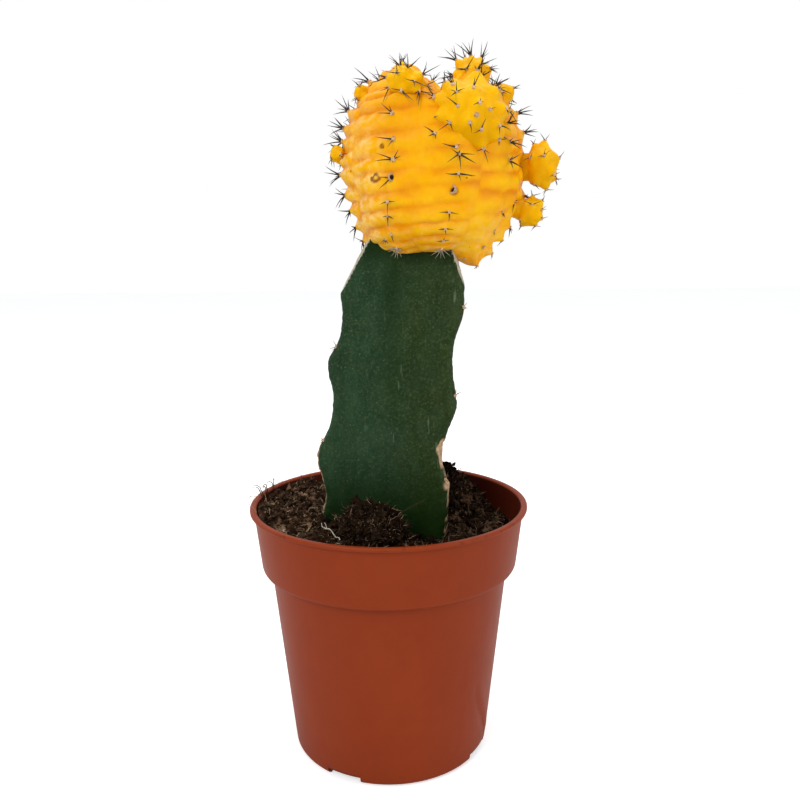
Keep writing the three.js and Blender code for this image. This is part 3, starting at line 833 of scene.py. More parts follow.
def soil_shape():
    """A round mass of peat: rings from the bottom of the pot up its wall, then inwards over the surface,
    whose height is the level, its fall to the right and the relief."""
    turn = around(SOIL_COLUMNS)
    x, y = np.cos(turn), np.sin(turn)
    wall = wall_radius(soil_height(38 * x, 38 * y)) - 0.15
    share = np.linspace(1, 0.01, SOIL_RINGS)[:, None]
    flat_x, flat_y = wall * x * share, wall * y * share
    height = soil_height(flat_x, flat_y) + peat_relief(flat_x, flat_y)
    top = np.stack([flat_x, flat_y, height], axis=-1)
    reach = (wall_radius(SOIL_SIDES) - 0.3)[:, None]
    bottom = np.stack([reach * x, reach * y, SOIL_SIDES[:, None] + 0 * x], axis=-1)
    rings = np.concatenate([bottom, top])
    vertices, faces = closed_skin(rings, (0, 0, SOIL_SIDES[0]), (0, 0, height[-1].mean()))
    return vertices, faces, {"tone": np.clip(0.25 + 0.9 * cloud(vertices, 2.0, 2), 0, 1)}


def drawn_out(ball, peak):
    """How far a lump is drawn out along each unit direction: a bell round the direction of its peak."""
    way, rise = peak
    apart = np.arccos(np.clip(ball @ unit(np.array(way, float)), -1, 1))
    return rise * np.exp(-(apart / 0.5) ** 2)


def clod_shape(centre, radii, peak, rough, rows):
    """A rough lump of peat: a ball of these radii, drawn out to one side and swollen and sunk by coarse
    and fine noise. Peak is the direction and height of the drawn-out side."""
    polar = np.linspace(0, np.pi, rows)[1:-1, None]
    turn = around(int(1.4 * rows))
    wide = np.sin(polar)
    ball = np.stack([wide * np.cos(turn), wide * np.sin(turn), -np.cos(polar) + 0 * turn], axis=-1)
    place = centre + ball * radii
    swell = rough * (1.2 * cloud(place, 4.0, 3) + 1.2 * np.abs(cloud(place + 40, 1.8, 2)) - 0.6)
    rings = place + ball * (swell + drawn_out(ball, peak))[..., None]
    vertices, faces = closed_skin(rings, centre - (0, 0, radii[2]), centre + (0, 0, radii[2] + peak[1]))
    return vertices, faces, {"tone": np.clip(0.15 + 0.8 * cloud(vertices, 1.8, 2), 0, 1)}


# Each lump's centre, radii, and the direction and height of its drawn-out side.
MOUND = np.array([-5.2, -19, 74.8]), np.array([9.2, 6.6, 6.3]), ((0.0, -0.1, 1.0), 1.3)
CLOD = np.array([18, 15.5, 79.0]), np.array([4.0, 4.0, 5.4]), ((0.4, 0.2, 0.6), 0.8)


def over_lump(rng, count, centre, radii, peak):
    """Random places on the upper part of a drawn-out ball of these radii, a little above or below it."""
    ball = unit(rng.normal(size=(4 * count, 3)))
    ball = ball[ball[:, 2] > -0.35][:count]
    return centre + ball * (radii + drawn_out(ball, peak)[:, None] + rng.normal(0, 0.45, (len(ball), 1)))


def over_soil(rng, count, reach):
    """Random places on the open surface of the peat, clear of the rootstock and of the wall."""
    angle = rng.uniform(0, TAU, count)
    radius = reach * np.sqrt(rng.uniform(0, 1, count))
    x, y = radius * np.cos(angle), radius * np.sin(angle)
    z = soil_height(x, y) + peat_relief(x, y) + rng.normal(0.1, 0.25, count)
    clear = ~inside_stem(x, y) & (radius < wall_radius(z) - 0.5)
    return np.stack([x, y, z], axis=-1)[clear]


def crumb_piece(name, rng, centres, low, high, material):
    """Crumbs from low to high in radius, the small ones far commoner than the large, and none so large
    that it would reach through the wall. The largest and about a third of the rest are nearly black, the
    others brown to tan."""
    sizes = low * (high / low) ** (rng.uniform(0, 1, len(centres)) ** 2.4)
    sizes = np.clip(wall_room(centres) / 2.4, 0.12, sizes)
    centres = centres + (0, 0, 0.2) * sizes[:, None]
    vertices, faces = crumbs(centres, sizes, rng)
    tone = np.clip(rng.uniform(-0.7, 1.2, len(centres)), 0, 1) ** 1.6 * (1 - 0.85 * smooth(sizes, 0.22, 0.5))
    corners = len(vertices) // len(centres)
    shape = vertices, faces, {"tone": np.repeat(tone, corners)}
    make_piece(name, shape, material, flat=True)


FIBRE_STEPS, FIBRE_SIDES = 5, 3


def strands(rng, centres, lengths, widths, lift, tone):
    """Loose fibres: each starts at its centre, heads off at about the angle of the lift, and bends at
    random."""
    count, steps = len(centres), FIBRE_STEPS
    heading = rng.uniform(0, TAU, count)[:, None] + np.cumsum(rng.normal(0, 0.38, (count, steps)), axis=1)
    rise = rng.normal(lift, 0.25, count)[:, None] + np.cumsum(rng.normal(0, 0.22, (count, steps)), axis=1)
    way = np.stack([np.cos(heading) * np.cos(rise), np.sin(heading) * np.cos(rise), np.sin(rise)], axis=-1)
    paths = centres[:, None] + np.cumsum(way * (lengths / steps)[:, None, None], axis=1)
    taper = np.sin(np.linspace(0.25, 0.9, steps) * np.pi)
    vertices, faces = tubes(paths, widths[:, None] * taper, FIBRE_SIDES)
    return vertices, faces, {"tone": per_tube(tone, steps, FIBRE_SIDES)}


SOIL_CRUMBS, MOUND_CRUMBS, CLOD_CRUMBS, SKIRT_CRUMBS = 8000, 2300, 500, 2200
SOIL_FIBRES, MOUND_FIBRES = 2600, 900


def make_crumbs(rng, light, dark):
    """Crumbs all over the peat, on the two lumps and thickly round the foot of the stem."""
    crumb_piece("peat_crumbs", rng, over_soil(rng, SOIL_CRUMBS, 38.6), 0.15, 1.0, light)
    on_lumps = np.concatenate([over_lump(rng, MOUND_CRUMBS, *MOUND), over_lump(rng, CLOD_CRUMBS, *CLOD)])
    crumb_piece("mound_crumbs", rng, on_lumps, 0.15, 1.0, dark)
    skirt = over_soil(rng, SKIRT_CRUMBS, 37.5) * (0.5, 0.5, 0) + (-4, -14, 0)
    skirt[:, 2] = soil_height(skirt[:, 0], skirt[:, 1]) + rng.normal(0.4, 0.3, len(skirt))
    skirt = skirt[~inside_stem(skirt[:, 0], skirt[:, 1])]
    crumb_piece("stem_foot_crumbs", rng, skirt, 0.18, 0.8, dark)


def make_fibres(rng, material):
    """Fibres all over the peat, short enough to end inside the wall and darker to the right as painted
    shade, and others on the mound."""
    centres = over_soil(rng, SOIL_FIBRES, 37.8)
    lengths = np.minimum(0.9 + 4.2 * rng.uniform(0, 1, len(centres)) ** 2.5, wall_room(centres))
    # painted shade: the fibres' tone falls towards the right, like the shaded peat
    tone = rng.uniform(0, 1, len(centres)) ** 1.2 * (1 - 0.5 * smooth(centres[:, 0], -5, 25))
    widths = rng.uniform(0.05, 0.13, len(centres))
    shape = strands(rng, centres + (0, 0, 0.45), lengths, widths, 0.1, tone)
    make_piece("peat_fibres", shape, material)
    centres = over_lump(rng, MOUND_FIBRES, *MOUND)
    lengths = 0.9 + 3.4 * rng.uniform(0, 1, len(centres)) ** 2
    widths = rng.uniform(0.04, 0.1, len(centres))
    tone = rng.uniform(0, 0.95, len(centres)) ** 2
    make_piece("mound_fibres", strands(rng, centres, lengths, widths, 0.2, tone), material)


def make_peat():
    """The peat with its two lumps, then all that lies loose on it. One random stream runs through them."""
    rng = np.random.default_rng(21)
    light = peat_material("peat_fibrous", (0.004, 0.002, 0.0013), (0.068, 0.034, 0.0185), (0.48, 0.28, 0.17))
    dark = peat_material("peat_dark", (0.0022, 0.0011, 0.0008), (0.017, 0.0088, 0.0056), (0.27, 0.155, 0.105))
    fibre = fibre_material()
    make_piece("peat_surface", soil_shape(), light, "soil")
    make_piece("peat_mound", clod_shape(*MOUND, 1.2, 70), dark, "peat_mound_front")
    make_piece("peat_clod", clod_shape(*CLOD, 0.8, 44), dark, "peat_clod_back")
    make_crumbs(rng, light, dark)
    make_fibres(rng, fibre)
    make_rim_hairs(rng, fibre)
    make_straw()


HAIRS = 46
HAIR_STEPS, HAIR_SIDES = 12, 4
TUFTS = np.array([146, 156, 163, 168, 178, 196.0])  # degrees round from the right, as below
DARK_HAIRS = np.array([158, 158, 166, 166, 169, 169])


def make_rim_hairs(rng, material):
    """Fine root hairs in a few tufts over the rim on the left: most are pale, thin and curl over it, and
    the first few are dark, stout and crooked. Each leans out from the rim and along it by its own amount."""
    dark = np.arange(HAIRS) < len(DARK_HAIRS)

    def amount(stout, fine):
        """A random amount for each hair, from one range for the dark ones and another for the rest."""
        return np.where(dark, rng.uniform(*stout, HAIRS), rng.uniform(*fine, HAIRS))

    angle = rng.choice(TUFTS, HAIRS) + rng.normal(0, 3.5, HAIRS)
    angle[dark] = DARK_HAIRS
    angle = np.radians(angle) + rng.normal(0, 0.03, HAIRS)
    outward = np.stack([np.cos(angle), np.sin(angle), np.zeros(HAIRS)], axis=-1)
    along = np.stack([-np.sin(angle), np.cos(angle), np.zeros(HAIRS)], axis=-1)
    start = (COLLAR_TOP_RADIUS - 1.0) * outward + (0, 0, RIM_Z - 1.2)
    t = np.linspace(0, 1, HAIR_STEPS)
    out = amount((0.5, 2.4), (0.5, 6.0))
    rise = amount((2.8, 5.0), (0.2, 3.6))
    drop = np.where(dark, 0.8, rng.uniform(0, 6, HAIRS))
    crooks = np.cumsum(rng.normal(0, 1, (HAIRS, HAIR_STEPS)), axis=1) * 0.16
    waviness = rng.uniform(3, 8, HAIRS)[:, None]
    winding = 0.3 * np.sin(t * waviness + rng.uniform(0, 6, (HAIRS, 1))) + crooks
    winding = winding - winding[:, :1]
    sway = rng.uniform(-5, 5, HAIRS)[:, None] * t ** 1.5 + winding
    lift = rise[:, None] * np.sin(t * 2.2) - drop[:, None] * t ** 3 + 0.8 * t + 0.5 * winding
    paths = (start[:, None] + outward[:, None] * (out[:, None] * t + 0.4 * winding)[..., None]
             + along[:, None] * sway[..., None] + lift[..., None] * np.array([0, 0, 1.0]))
    widths = amount((0.14, 0.2), (0.035, 0.075))
    vertices, faces = tubes(paths, widths[:, None] * (1 - 0.6 * t), HAIR_SIDES)
    tone = amount((0.0, 0.1), (0.4, 1.0))
    shape = vertices, faces, {"tone": per_tube(tone, HAIR_STEPS, HAIR_SIDES)}
    make_piece("rim_root_hairs", shape, material)


STRAW_FORK = np.array([-17.8, -20.2])
STRAW_ENDS = [((-13.2, -28.0), (0.5, 0.6)), ((-19.4, -16.1), (-0.4, 0.1)), ((-18.6, -16.0), (0.4, 0.1))]
CHIP_START, CHIP_END, CHIP_BOW = np.array([-29.4, -21.9]), (-29.0, -24.7), (-0.4, 0)
STRAW_RADII = np.array([0.2, 0.17, 0.16, 0.16])[:, None]
STRAW_STEPS, STRAW_SIDES = 14, 8


def bowed(start, end, bow, t):
    """Points in plan from a start to an end, pushed aside by the bow in the middle."""
    return start + (np.array(end) - start) * t + np.array(bow) * np.sin(np.pi * t)


def make_straw():
    """A forked dry root on the peat at the stem's left foot, and a short thin chip of straw further left."""
    t = np.linspace(0, 1, STRAW_STEPS)[:, None]
    share = t[:, 0]
    paths = []
    for end, bow in STRAW_ENDS:
        plan = bowed(STRAW_FORK, end, bow, t)
        height = soil_height(plan[:, 0], plan[:, 1]) + 2.9 - 0.5 * share + 0.2 * np.sin(9 * share)
        paths.append(np.column_stack([plan, height]))
    chip = bowed(CHIP_START, CHIP_END, CHIP_BOW, t)
    paths.append(np.column_stack([chip, soil_height(chip[:, 0], chip[:, 1]) + 2.1 + 0.5 * share]))
    radii = STRAW_RADII * (1 - 0.35 * share) * (1 + 0.14 * np.sin(17 * share))
    vertices, faces = tubes(np.array(paths), radii, STRAW_SIDES)
    make_piece("forked_straw", (vertices, faces, {}), straw_material(), "straw_root")


# ---- rootstock ---------------------------------------------------------------------------------------

CRESTS = {  # height and reach of each rib's crest: its margin swells at every felt point
    "left": [
        (42, -13), (60, -18), (73, -20.2), (82, -18.8), (94, -20.9), (103, -17.2),
        (111, -15.8), (122, -17), (129, -13.5), (137, -12.6), (146, -13.4), (159, -13.6),
    ],
    "right": [
        (42, 12), (60, 15.6), (70, 16.7), (83, 17.9), (88.5, 16.7), (94, 15.7), (99.5, 16.5),
        (104, 18.3), (109, 20), (120, 18.7), (128, 19.2), (136, 21.9), (146, 22), (159, 22.5),
    ],
    "back": [
        (42, 13), (60, 17.5), (75, 20.5), (84, 18.6), (99, 21.2), (108, 18.8),
        (124, 21.6), (133, 19.2), (146, 20.4), (159, 20.8),
    ],
}
STEM_FOOT, STEM_TOP = 44.0, 158.4
STEM_RINGS = 215
ARC_STEPS, FACE_STEPS = 15, 44  # points round a crest, and along a face
LEFT_CREST_Y, RIGHT_CREST_Y = -7, -11
BACK_CREST_ASIDE = 1.5  # to the right of the stem's axis
CREST_ROUND = 2.4
HOLLOWS = 1.2, 2.6, 2.6  # how far the front, right and left faces sink
BEVELS = [  # rib, height of its lower end, degrees from upright, and the way it faces in plan
    (0, 142.0, 29, (-0.99, -0.12)),
    (1, 144.5, 18, (0.97, -0.24)),
    (2, 143.0, 26, (0.0, 1.0)),
]


def crest_reach(points, height):
    """The reach of a rib at each height, on a smooth curve through the points of its crest."""
    levels, reaches = np.array(points, float).T
    last = len(levels) - 1
    k = np.clip(np.searchsorted(levels, height) - 1, 0, last - 1)
    before, after = np.maximum(k - 1, 0), np.minimum(k + 2, last)
    low, high = reaches[k], reaches[k + 1]
    span = levels[k + 1] - levels[k]
    slope_low = (high - reaches[before]) / (levels[k + 1] - levels[before]) * span
    slope_high = (reaches[after] - low) / (levels[after] - levels[k]) * span
    t = np.clip((height - levels[k]) / span, 0, 1)
    return low + (high - low) * t * t * (3 - 2 * t) + t * (1 - t) * ((1 - t) * slope_low - t * slope_high)


def stem_axis(height):
    """How far right the stem's axis lies at a height: it leans a little to the right."""
    return -2.6 + 0.052 * (height - 42)


def stem_crests(height):
    """Crest points of the left, right and back ribs at each height, shape (heights, 3, 2)."""
    left = np.stack([crest_reach(CRESTS["left"], height), np.full_like(height, LEFT_CREST_Y)], axis=-1)
    right = np.stack([crest_reach(CRESTS["right"], height), np.full_like(height, RIGHT_CREST_Y)], axis=-1)
    back = np.stack([stem_axis(height) + BACK_CREST_ASIDE, crest_reach(CRESTS["back"], height)], axis=-1)
    return np.stack([left, right, back], axis=1)


def stem_middle(height):
    """Points of the stem's axis in plan."""
    return np.stack([stem_axis(height), np.zeros_like(height)], axis=-1)


def stem_frame(height):
    """Centres of the crests' roundings and the outward normals of the faces that follow them."""
    crests = stem_crests(height)
    centres = crests + CREST_ROUND * unit(stem_middle(height)[:, None] - crests)
    along = unit(np.roll(centres, -1, axis=1) - centres)
    return centres, np.stack([along[..., 1], -along[..., 0]], axis=-1)


def inside_stem(x, y):
    """Whether a place in plan lies within the rootstock at the level of the peat."""
    centres, normals = stem_frame(np.array([SOIL_LEVEL]))
    place = np.stack([x, y], axis=-1)
    reach = [(place - centres[0, k]) @ normals[0, k] for k in range(3)]
    return np.max(reach, axis=0) < CREST_ROUND - 0.4


def stem_outline(height):
    """The outline at each height: an arc round each crest, then a slightly hollow face to the next. Also
    gives how far along its face each point lies."""
    centres, normals = stem_frame(height)
    facing = np.arctan2(normals[..., 1], normals[..., 0])
    parts, shares = [], []
    s = np.arange(ARC_STEPS) / ARC_STEPS
    t = np.arange(FACE_STEPS) / FACE_STEPS
    for k, hollow in enumerate(HOLLOWS):
        start = facing[:, (k + 2) % 3]
        turn = (facing[:, k] - start) % TAU
        angle = start[:, None] + turn[:, None] * s
        parts.append(centres[:, k, None] + CREST_ROUND * np.stack([np.cos(angle), np.sin(angle)], axis=-1))
        chord = centres[:, (k + 1) % 3] - centres[:, k]
        out = CREST_ROUND - hollow * 4 * t * (1 - t)
        parts.append(centres[:, k, None] + chord[:, None] * t[:, None] + normals[:, k, None] * out[:, None])
        shares += [0.0] * ARC_STEPS + list(t)
    return np.concatenate(parts, axis=1), np.array(shares)


def stem_cork(rings, height, aside, crest):
    """How corky each point of the skin is, and how far it stands out for that. Cork lines the margins
    where the skin faces aside, fills the old wound, which is sunk into the right rib, and makes a blob
    low on that rib and a faint line beside it."""
    x, y, z = np.moveaxis(rings, -1, 0)
    broken = smooth(cloud(rings, 1.6, 3), -0.5, 0.1)
    edge = crest_reach(CRESTS["right"], height)[:, None] - 0.7 - 1.0 * np.exp(-((z - 97) / 1.9) ** 2)
    wound = smooth(x + 0.15 * cloud(rings, 1.3, 2), edge, edge + 0.3)
    wound = wound * smooth(z, 90.4, 91.6) * smooth(z, 100.2, 99)
    margin = smooth(crest, 0.04, 0.3)
    right_line = margin * smooth(aside, 0.7, 0.84) * smooth(z, 92, 86) * (x > 6)
    left_line = margin * smooth(-aside, 0.78, 0.9) * smooth(z, 101, 94) * (x < -6) * 0.8
    blob = np.exp(-(((x - 17.3) / 1.0) ** 2 + ((z - 85.6) / 1.3) ** 2) ** 4) * (y < 0)
    line = np.exp(-(((z - 78.6) - 0.62 * (x - 6.6)) / 0.3) ** 2)
    line = line * smooth(x, 2.6, 4) * smooth(x, 11.4, 9.5) * (y < -3)
    cork = np.clip(wound + 0.9 * (right_line + left_line) * broken + 1.2 * blob + 0.05 * line, 0, 1)
    out = 0.25 * cork * cloud(rings, 0.9, 2) + (0.5 + 0.4 * cloud(rings, 0.8, 2)) * blob - 0.2 * wound
    return cork, out


def cut_bevels(rings):
    """Draws the skin that lies beyond a bevel's plane straight back onto the plane, which leaves the flat
    cut, and gives how much each point belongs to one."""
    cut = np.zeros(rings.shape[:2])
    for rib, low, steepness, facing in BEVELS:
        facing = unit(np.array(facing))
        corner = stem_crests(np.array([low]))[0, rib]
        lean = math.tan(math.radians(steepness))
        over = (rings[..., :2] - corner) @ facing + (rings[..., 2] - low) * lean
        over = over + 0.12 * cloud(rings, 2.5, 2)
        rings[..., :2] -= facing * np.maximum(over, 0)[..., None]
        cut = np.maximum(cut, smooth(over, 0.0, 0.25))
    return cut


def stem_shade(rings):
    """Painted shade: how dark the skin is under the head, near the peat, and down the middle of the
    front face.
    """
    x, y, z = np.moveaxis(rings, -1, 0)
    middle = 0.6 * np.exp(-((x - 1.8 - 0.05 * (z - 140)) / 3.2) ** 2) * smooth(z, 95, 150) * (y < 0)
    return np.maximum(np.maximum(middle, smooth(z, 147, 156)), 0.95 * smooth(z, 96, 74))


def stem_shape():
    """Outlines stacked from the buried foot to the graft cut, roughened by noise, most of all along the
    crests, then swollen by the cork and cut by the bevels."""
    height = np.linspace(STEM_FOOT, STEM_TOP, STEM_RINGS)
    plan, shares = stem_outline(height)
    rings = np.concatenate([plan, np.broadcast_to(height[:, None, None], plan.shape[:2] + (1,))], axis=-1)
    outward = unit(rings[..., :2] - stem_middle(height)[:, None])
    aside = unit(np.roll(plan, -1, axis=1) - np.roll(plan, 1, axis=1))[..., 1]
    skin = 0.16 * cloud(rings, 9.0, 3) + 0.05 * cloud(rings, 1.4, 2)
    crest = np.exp(-((np.minimum(shares, 1 - shares) + 0 * height[:, None]) / 0.045) ** 2)
    skin = skin + 0.16 * crest * cloud(rings * (1, 1, 2.2) + 30, 3.0, 2)
    rings[..., :2] += outward * skin[..., None]
    cork, out = stem_cork(rings, height, aside, crest)
    rings[..., :2] += outward * out[..., None]
    cut = cut_bevels(rings)
    olive = smooth(rings[..., 0] + 5 * cloud(rings, 14.0, 2), -7, 13)
    fields = {"cork": cork, "cut": cut, "shade": stem_shade(rings), "olive": olive}
    ends = [(stem_axis(z), 0, z) for z in (STEM_FOOT, STEM_TOP)]
    vertices, faces = closed_skin(rings, *ends)
    return vertices, faces, {label: with_ends(field, 0, 1) for label, field in fields.items()}


STEM_AREOLES = {0: (126.5, 98.5, 76.5), 1: (138, 112.5, 87.5), 2: (141, 126, 101, 77.5)}  # heights by rib


def stem_areoles():
    """Place, right, up and normal of the felt points on the crests."""
    places, outward = [], []
    for rib, heights in STEM_AREOLES.items():
        heights = np.array(heights, float)
        crest = stem_crests(heights)[:, rib]
        way = unit(crest - stem_middle(heights))
        places.append(np.column_stack([crest - 0.1 * way, heights]))
        outward.append(np.column_stack([way, np.full(len(heights), 0.25)]))
    normal = unit(np.concatenate(outward))
    up = unit(np.array([0, 0, 1.0]) - normal * normal[:, 2:])
    return np.concatenate(places), np.cross(up, normal), up, normal


def stem_arms(rng):
    """A few short spines in any direction."""
    number = rng.integers(3, 6)
    return [(rng.uniform(-180, 180), rng.uniform(1.2, 3.4), rng.uniform(25, 60)) for _ in range(number)]


def make_rootstock():
    """The stem, and the few short spines and brown felt of its areoles."""
    make_piece("rootstock_body", stem_shape(), rootstock_material(), "rootstock_stem")
    rng = np.random.default_rng(31)
    frame_of = stem_areoles()
    count = len(frame_of[0])
    arms = [stem_arms(rng) for _ in range(count)]
    spines = spine_shape(frame_of, arms, rng, 0.16, np.full(count, 0.25))
    make_piece("rootstock_spines", spines, spine_material())
    pads = pad_shape(frame_of, np.full(count, 0.68), rng, 0.45)
    make_piece("rootstock_felt", pads, felt_material())


# ---- areoles: felt pads, wool, spines and empty pits -------------------------------------------------

SPINE_STEPS, SPINE_SIDES = 6, 5


def spine_shape(frame_of, arms, rng, width, tones):
    """Tapered horny spines. Each areole has a list of arms: the direction in degrees clockwise from
    straight up, the length, and how far it lifts off the skin in degrees. A spine starts along that
    direction and curls a little back towards the skin; it swells just above its foot. Width is the
    radius of the thickest, and each areole has its own tone."""
    place, right, up, normal = frame_of
    owner = np.repeat(np.arange(len(arms)), [len(some) for some in arms])
    turn, length, lift = np.array([arm for some in arms for arm in some], float).T
    turn, lift = np.radians(turn), np.radians(lift)
    flat = np.sin(turn)[:, None] * right[owner] + np.cos(turn)[:, None] * up[owner]
    t = np.linspace(0, 1, SPINE_STEPS)
    curl = rng.normal(0.22, 0.16, len(owner))
    aside = rng.normal(0, 0.18, len(owner))
    sideways = np.cross(flat, normal[owner])
    rise = lift[:, None] - curl[:, None] * t
    way = (np.cos(rise)[..., None] * flat[:, None] + np.sin(rise)[..., None] * normal[owner][:, None]
           + (aside[:, None] * t)[..., None] * sideways[:, None])
    path = np.cumsum(unit(way) * (length / SPINE_STEPS)[:, None, None], axis=1)
    path = np.concatenate([np.zeros_like(path[:, :1]), path[:, :-1]], axis=1)
    foot = place[owner] + 0.12 * flat - 0.1 * normal[owner]
    thick = width * (0.55 + 0.45 * np.clip(length / 7, 0.2, 1.3)) * rng.uniform(0.85, 1.15, len(owner))
    taper = (1 - t) ** 0.75 * (1 + 0.2 * np.exp(-(t / 0.14) ** 2)) + 0.06
    vertices, faces = tubes(foot[:, None] + path, thick[:, None] * taper, SPINE_SIDES)
    tone = np.clip(tones[owner] + rng.normal(0, 0.08, len(owner)), 0, 1)
    fields = {
        "along": per_tube(np.broadcast_to(t, (len(owner), SPINE_STEPS)), SPINE_STEPS, SPINE_SIDES),
        "tone": per_tube(tone, SPINE_STEPS, SPINE_SIDES),
    }
    return vertices, faces, fields


PAD_COLUMNS = 9
PAD_PROFILE = [(0, -0.5), (0.85, -0.4), (1.0, 0.05), (0.8, 0.38), (0.42, 0.55), (0, 0.6)]
WOOL_HAIRS = 7  # round each pad
WOOL_SIDES = 3
WOOL_RADII = 0.07 * np.array([1, 0.8, 0.3])


def wool_shape(frame_of, sizes, rng):
    """Short straight wool that stands out round the edges of the pads."""
    place, right, up, normal = frame_of
    owner = np.repeat(np.arange(len(place)), WOOL_HAIRS)
    turn = rng.uniform(0, TAU, len(owner))
    flat = np.cos(turn)[:, None] * right[owner] + np.sin(turn)[:, None] * up[owner]
    lift = rng.uniform(0.3, 1.3, len(owner))[:, None]
    way = np.cos(lift) * flat + np.sin(lift) * normal[owner]
    foot = place[owner] + 0.75 * sizes[owner, None] * flat
    length = rng.uniform(0.4, 0.95, len(owner)) * sizes[owner]
    t = np.linspace(0, 1, len(WOOL_RADII))
    paths = foot[:, None] + way[:, None] * (length[:, None] * t)[..., None]
    vertices, faces = tubes(paths, WOOL_RADII * np.ones((len(owner), 1)), WOOL_SIDES)
    return vertices, faces, {"tone": np.zeros(len(vertices))}


def pad_shape(frame_of, sizes, rng, darkest):
    """Felt pads with a ragged outline, each of its own tone up to the darkest, and their wool."""
    vertices, faces = stamped(PAD_PROFILE, PAD_COLUMNS, *frame_of, sizes, rng, 0.2)
    count = len(sizes)
    tone = np.repeat(rng.uniform(0, darkest, count), len(vertices) // count)
    return merged([(vertices, faces, {"tone": tone}), wool_shape(frame_of, sizes, rng)])


RING_PROFILE = [
    (0, -0.9), (1.0, -0.8), (1.25, 0.0), (1.12, 0.32), (0.86, 0.34), (0.66, 0.05), (0.6, -0.35), (0, -0.4),
]
PLUG_PROFILE = [(0, -0.7), (0.6, -0.6), (0.62, -0.3), (0.3, -0.26), (0, -0.3)]


ARM_TURNS = np.array([-88, 88, 180, -135, 132, -40, 45, 0])  # degrees clockwise from straight up


def random_arms(rng, count, low, high, lift, scatter=11):
    """The first of the turns above, as radial spines spread, with lengths from low to high and now and
    then one more that stands out. The scatter is how many degrees they stray from there."""
    turns = ARM_TURNS[:count] + rng.normal(0, scatter, count)
    arms = [(turn, rng.uniform(low, high), rng.normal(lift, 9)) for turn in turns]
    if rng.uniform() < 0.25:
        arms.append((rng.uniform(-30, 30), 0.7 * high, 65))
    return arms


# ---- grafted head ------------------------------------------------------------------------------------

FURROWS = np.radians([-63, -9, 32, 72, 110, 148, 186, 224, 260, 297])  # round from the front, to the right
AREOLE_SHARE = np.array([0.71, 0.59] + [0.5] * 7)  # where it sits across its rib
ANCHOR_Z = np.array([168.0, 169.5, 171.2, 168.6, 170.0, 168.2, 170.8, 169.0, 167.2])
PITCHES = BAND_PITCH * np.array([0.97, 0.92, 0.96, 1.02, 0.98, 1.0, 0.96, 0.98, 0.86])
BANDS = np.arange(-9, 14)  # counted up each rib from the band at its anchor
FRONT_STEPS = {  # millimetres up the skin from the anchor to the areoles of the two front ribs, by band
    0: {-4: -18.5, -3: -14.7, -2: -9.3, -1: -3.9, 0: 0.0, 1: 5.4, 2: 10.0, 3: 15.0, 4: 21.4, 5: 26.8},
    1: {-4: -19.0, -3: -14.9, -2: -10.2, -1: -5.7, 0: -0.7, 1: 3.8, 2: 8.6, 3: 13.9, 4: 19.0, 5: 24.0},
}
AREOLE_RISE = 0.62  # where it sits up its band
RIB_LEAN = 0.24  # how far round to the left the ribs have swung where they reach the graft
PITS = [(0, 1), (1, 0)]  # rib and band of the two empty areoles


def barrel(polar):
    """Width and height of the plain head at an angle from its lower pole, as shares of its radii: a
    superellipse, fuller below than above."""
    round_, rise = np.sin(polar), -np.cos(polar)
    fullness = np.where(rise > 0, FULLNESS_ABOVE, FULLNESS_BELOW)
    return np.abs(round_) ** (2 / fullness), np.sign(rise) * np.abs(rise) ** (2 / fullness)


MERIDIAN_POLAR = np.linspace(0, np.pi, 6001)
MERIDIAN_WIDE, MERIDIAN_TALL = HEAD_RADII[[0, 2], None] * np.array(barrel(MERIDIAN_POLAR))
MERIDIAN_STEPS = np.hypot(np.diff(MERIDIAN_WIDE), np.diff(MERIDIAN_TALL))
MERIDIAN_REACH = np.concatenate([[0], np.cumsum(MERIDIAN_STEPS)])
ANCHORS = np.interp(ANCHOR_Z - HEAD_CENTRE[2], MERIDIAN_TALL, MERIDIAN_REACH)
TOP_REACH = MERIDIAN_REACH[-1]


def areole_ladders():
    """Reach of every areole up each rib: an uneven ladder about the rib's pitch, with the front ribs' own
    steps put in."""
    rng = np.random.default_rng(40)
    steps = PITCHES[:, None] * (BANDS + rng.uniform(-0.13, 0.13, (RIBS, len(BANDS))))
    for rib, heights in FRONT_STEPS.items():
        for band, height in heights.items():
            steps[rib, band - BANDS[0]] = height
    return ANCHORS[:, None] + steps


LADDERS = areole_ladders()


def rib_turn(reach):
    """How far round the ribs have swung at a reach: they lean to the left as they near the graft."""
    return -RIB_LEAN * smooth(reach, 50, 13)


def rib_place(angle, reach):
    """The rib at each place, how far across it the place lies, and the rib's width as an angle."""
    turned = (angle - rib_turn(reach) - FURROWS[0]) % TAU + FURROWS[0]
    rib = np.clip(np.searchsorted(FURROWS, turned, side="right") - 1, 0, RIBS - 1)
    width = FURROWS[rib + 1] - FURROWS[rib]
    return rib, (turned - FURROWS[rib]) / width, width


def band_place(rib, reach):
    """How far up its band each place lies, from the furrow below it, 0, to the one above, 1."""
    count = np.zeros(np.shape(reach))
    for number, ladder in enumerate(LADDERS):
        here = rib == number
        count[here] = np.interp(reach[here], ladder, BANDS) + AREOLE_RISE
    return count - np.floor(count), np.floor(count).astype(int)


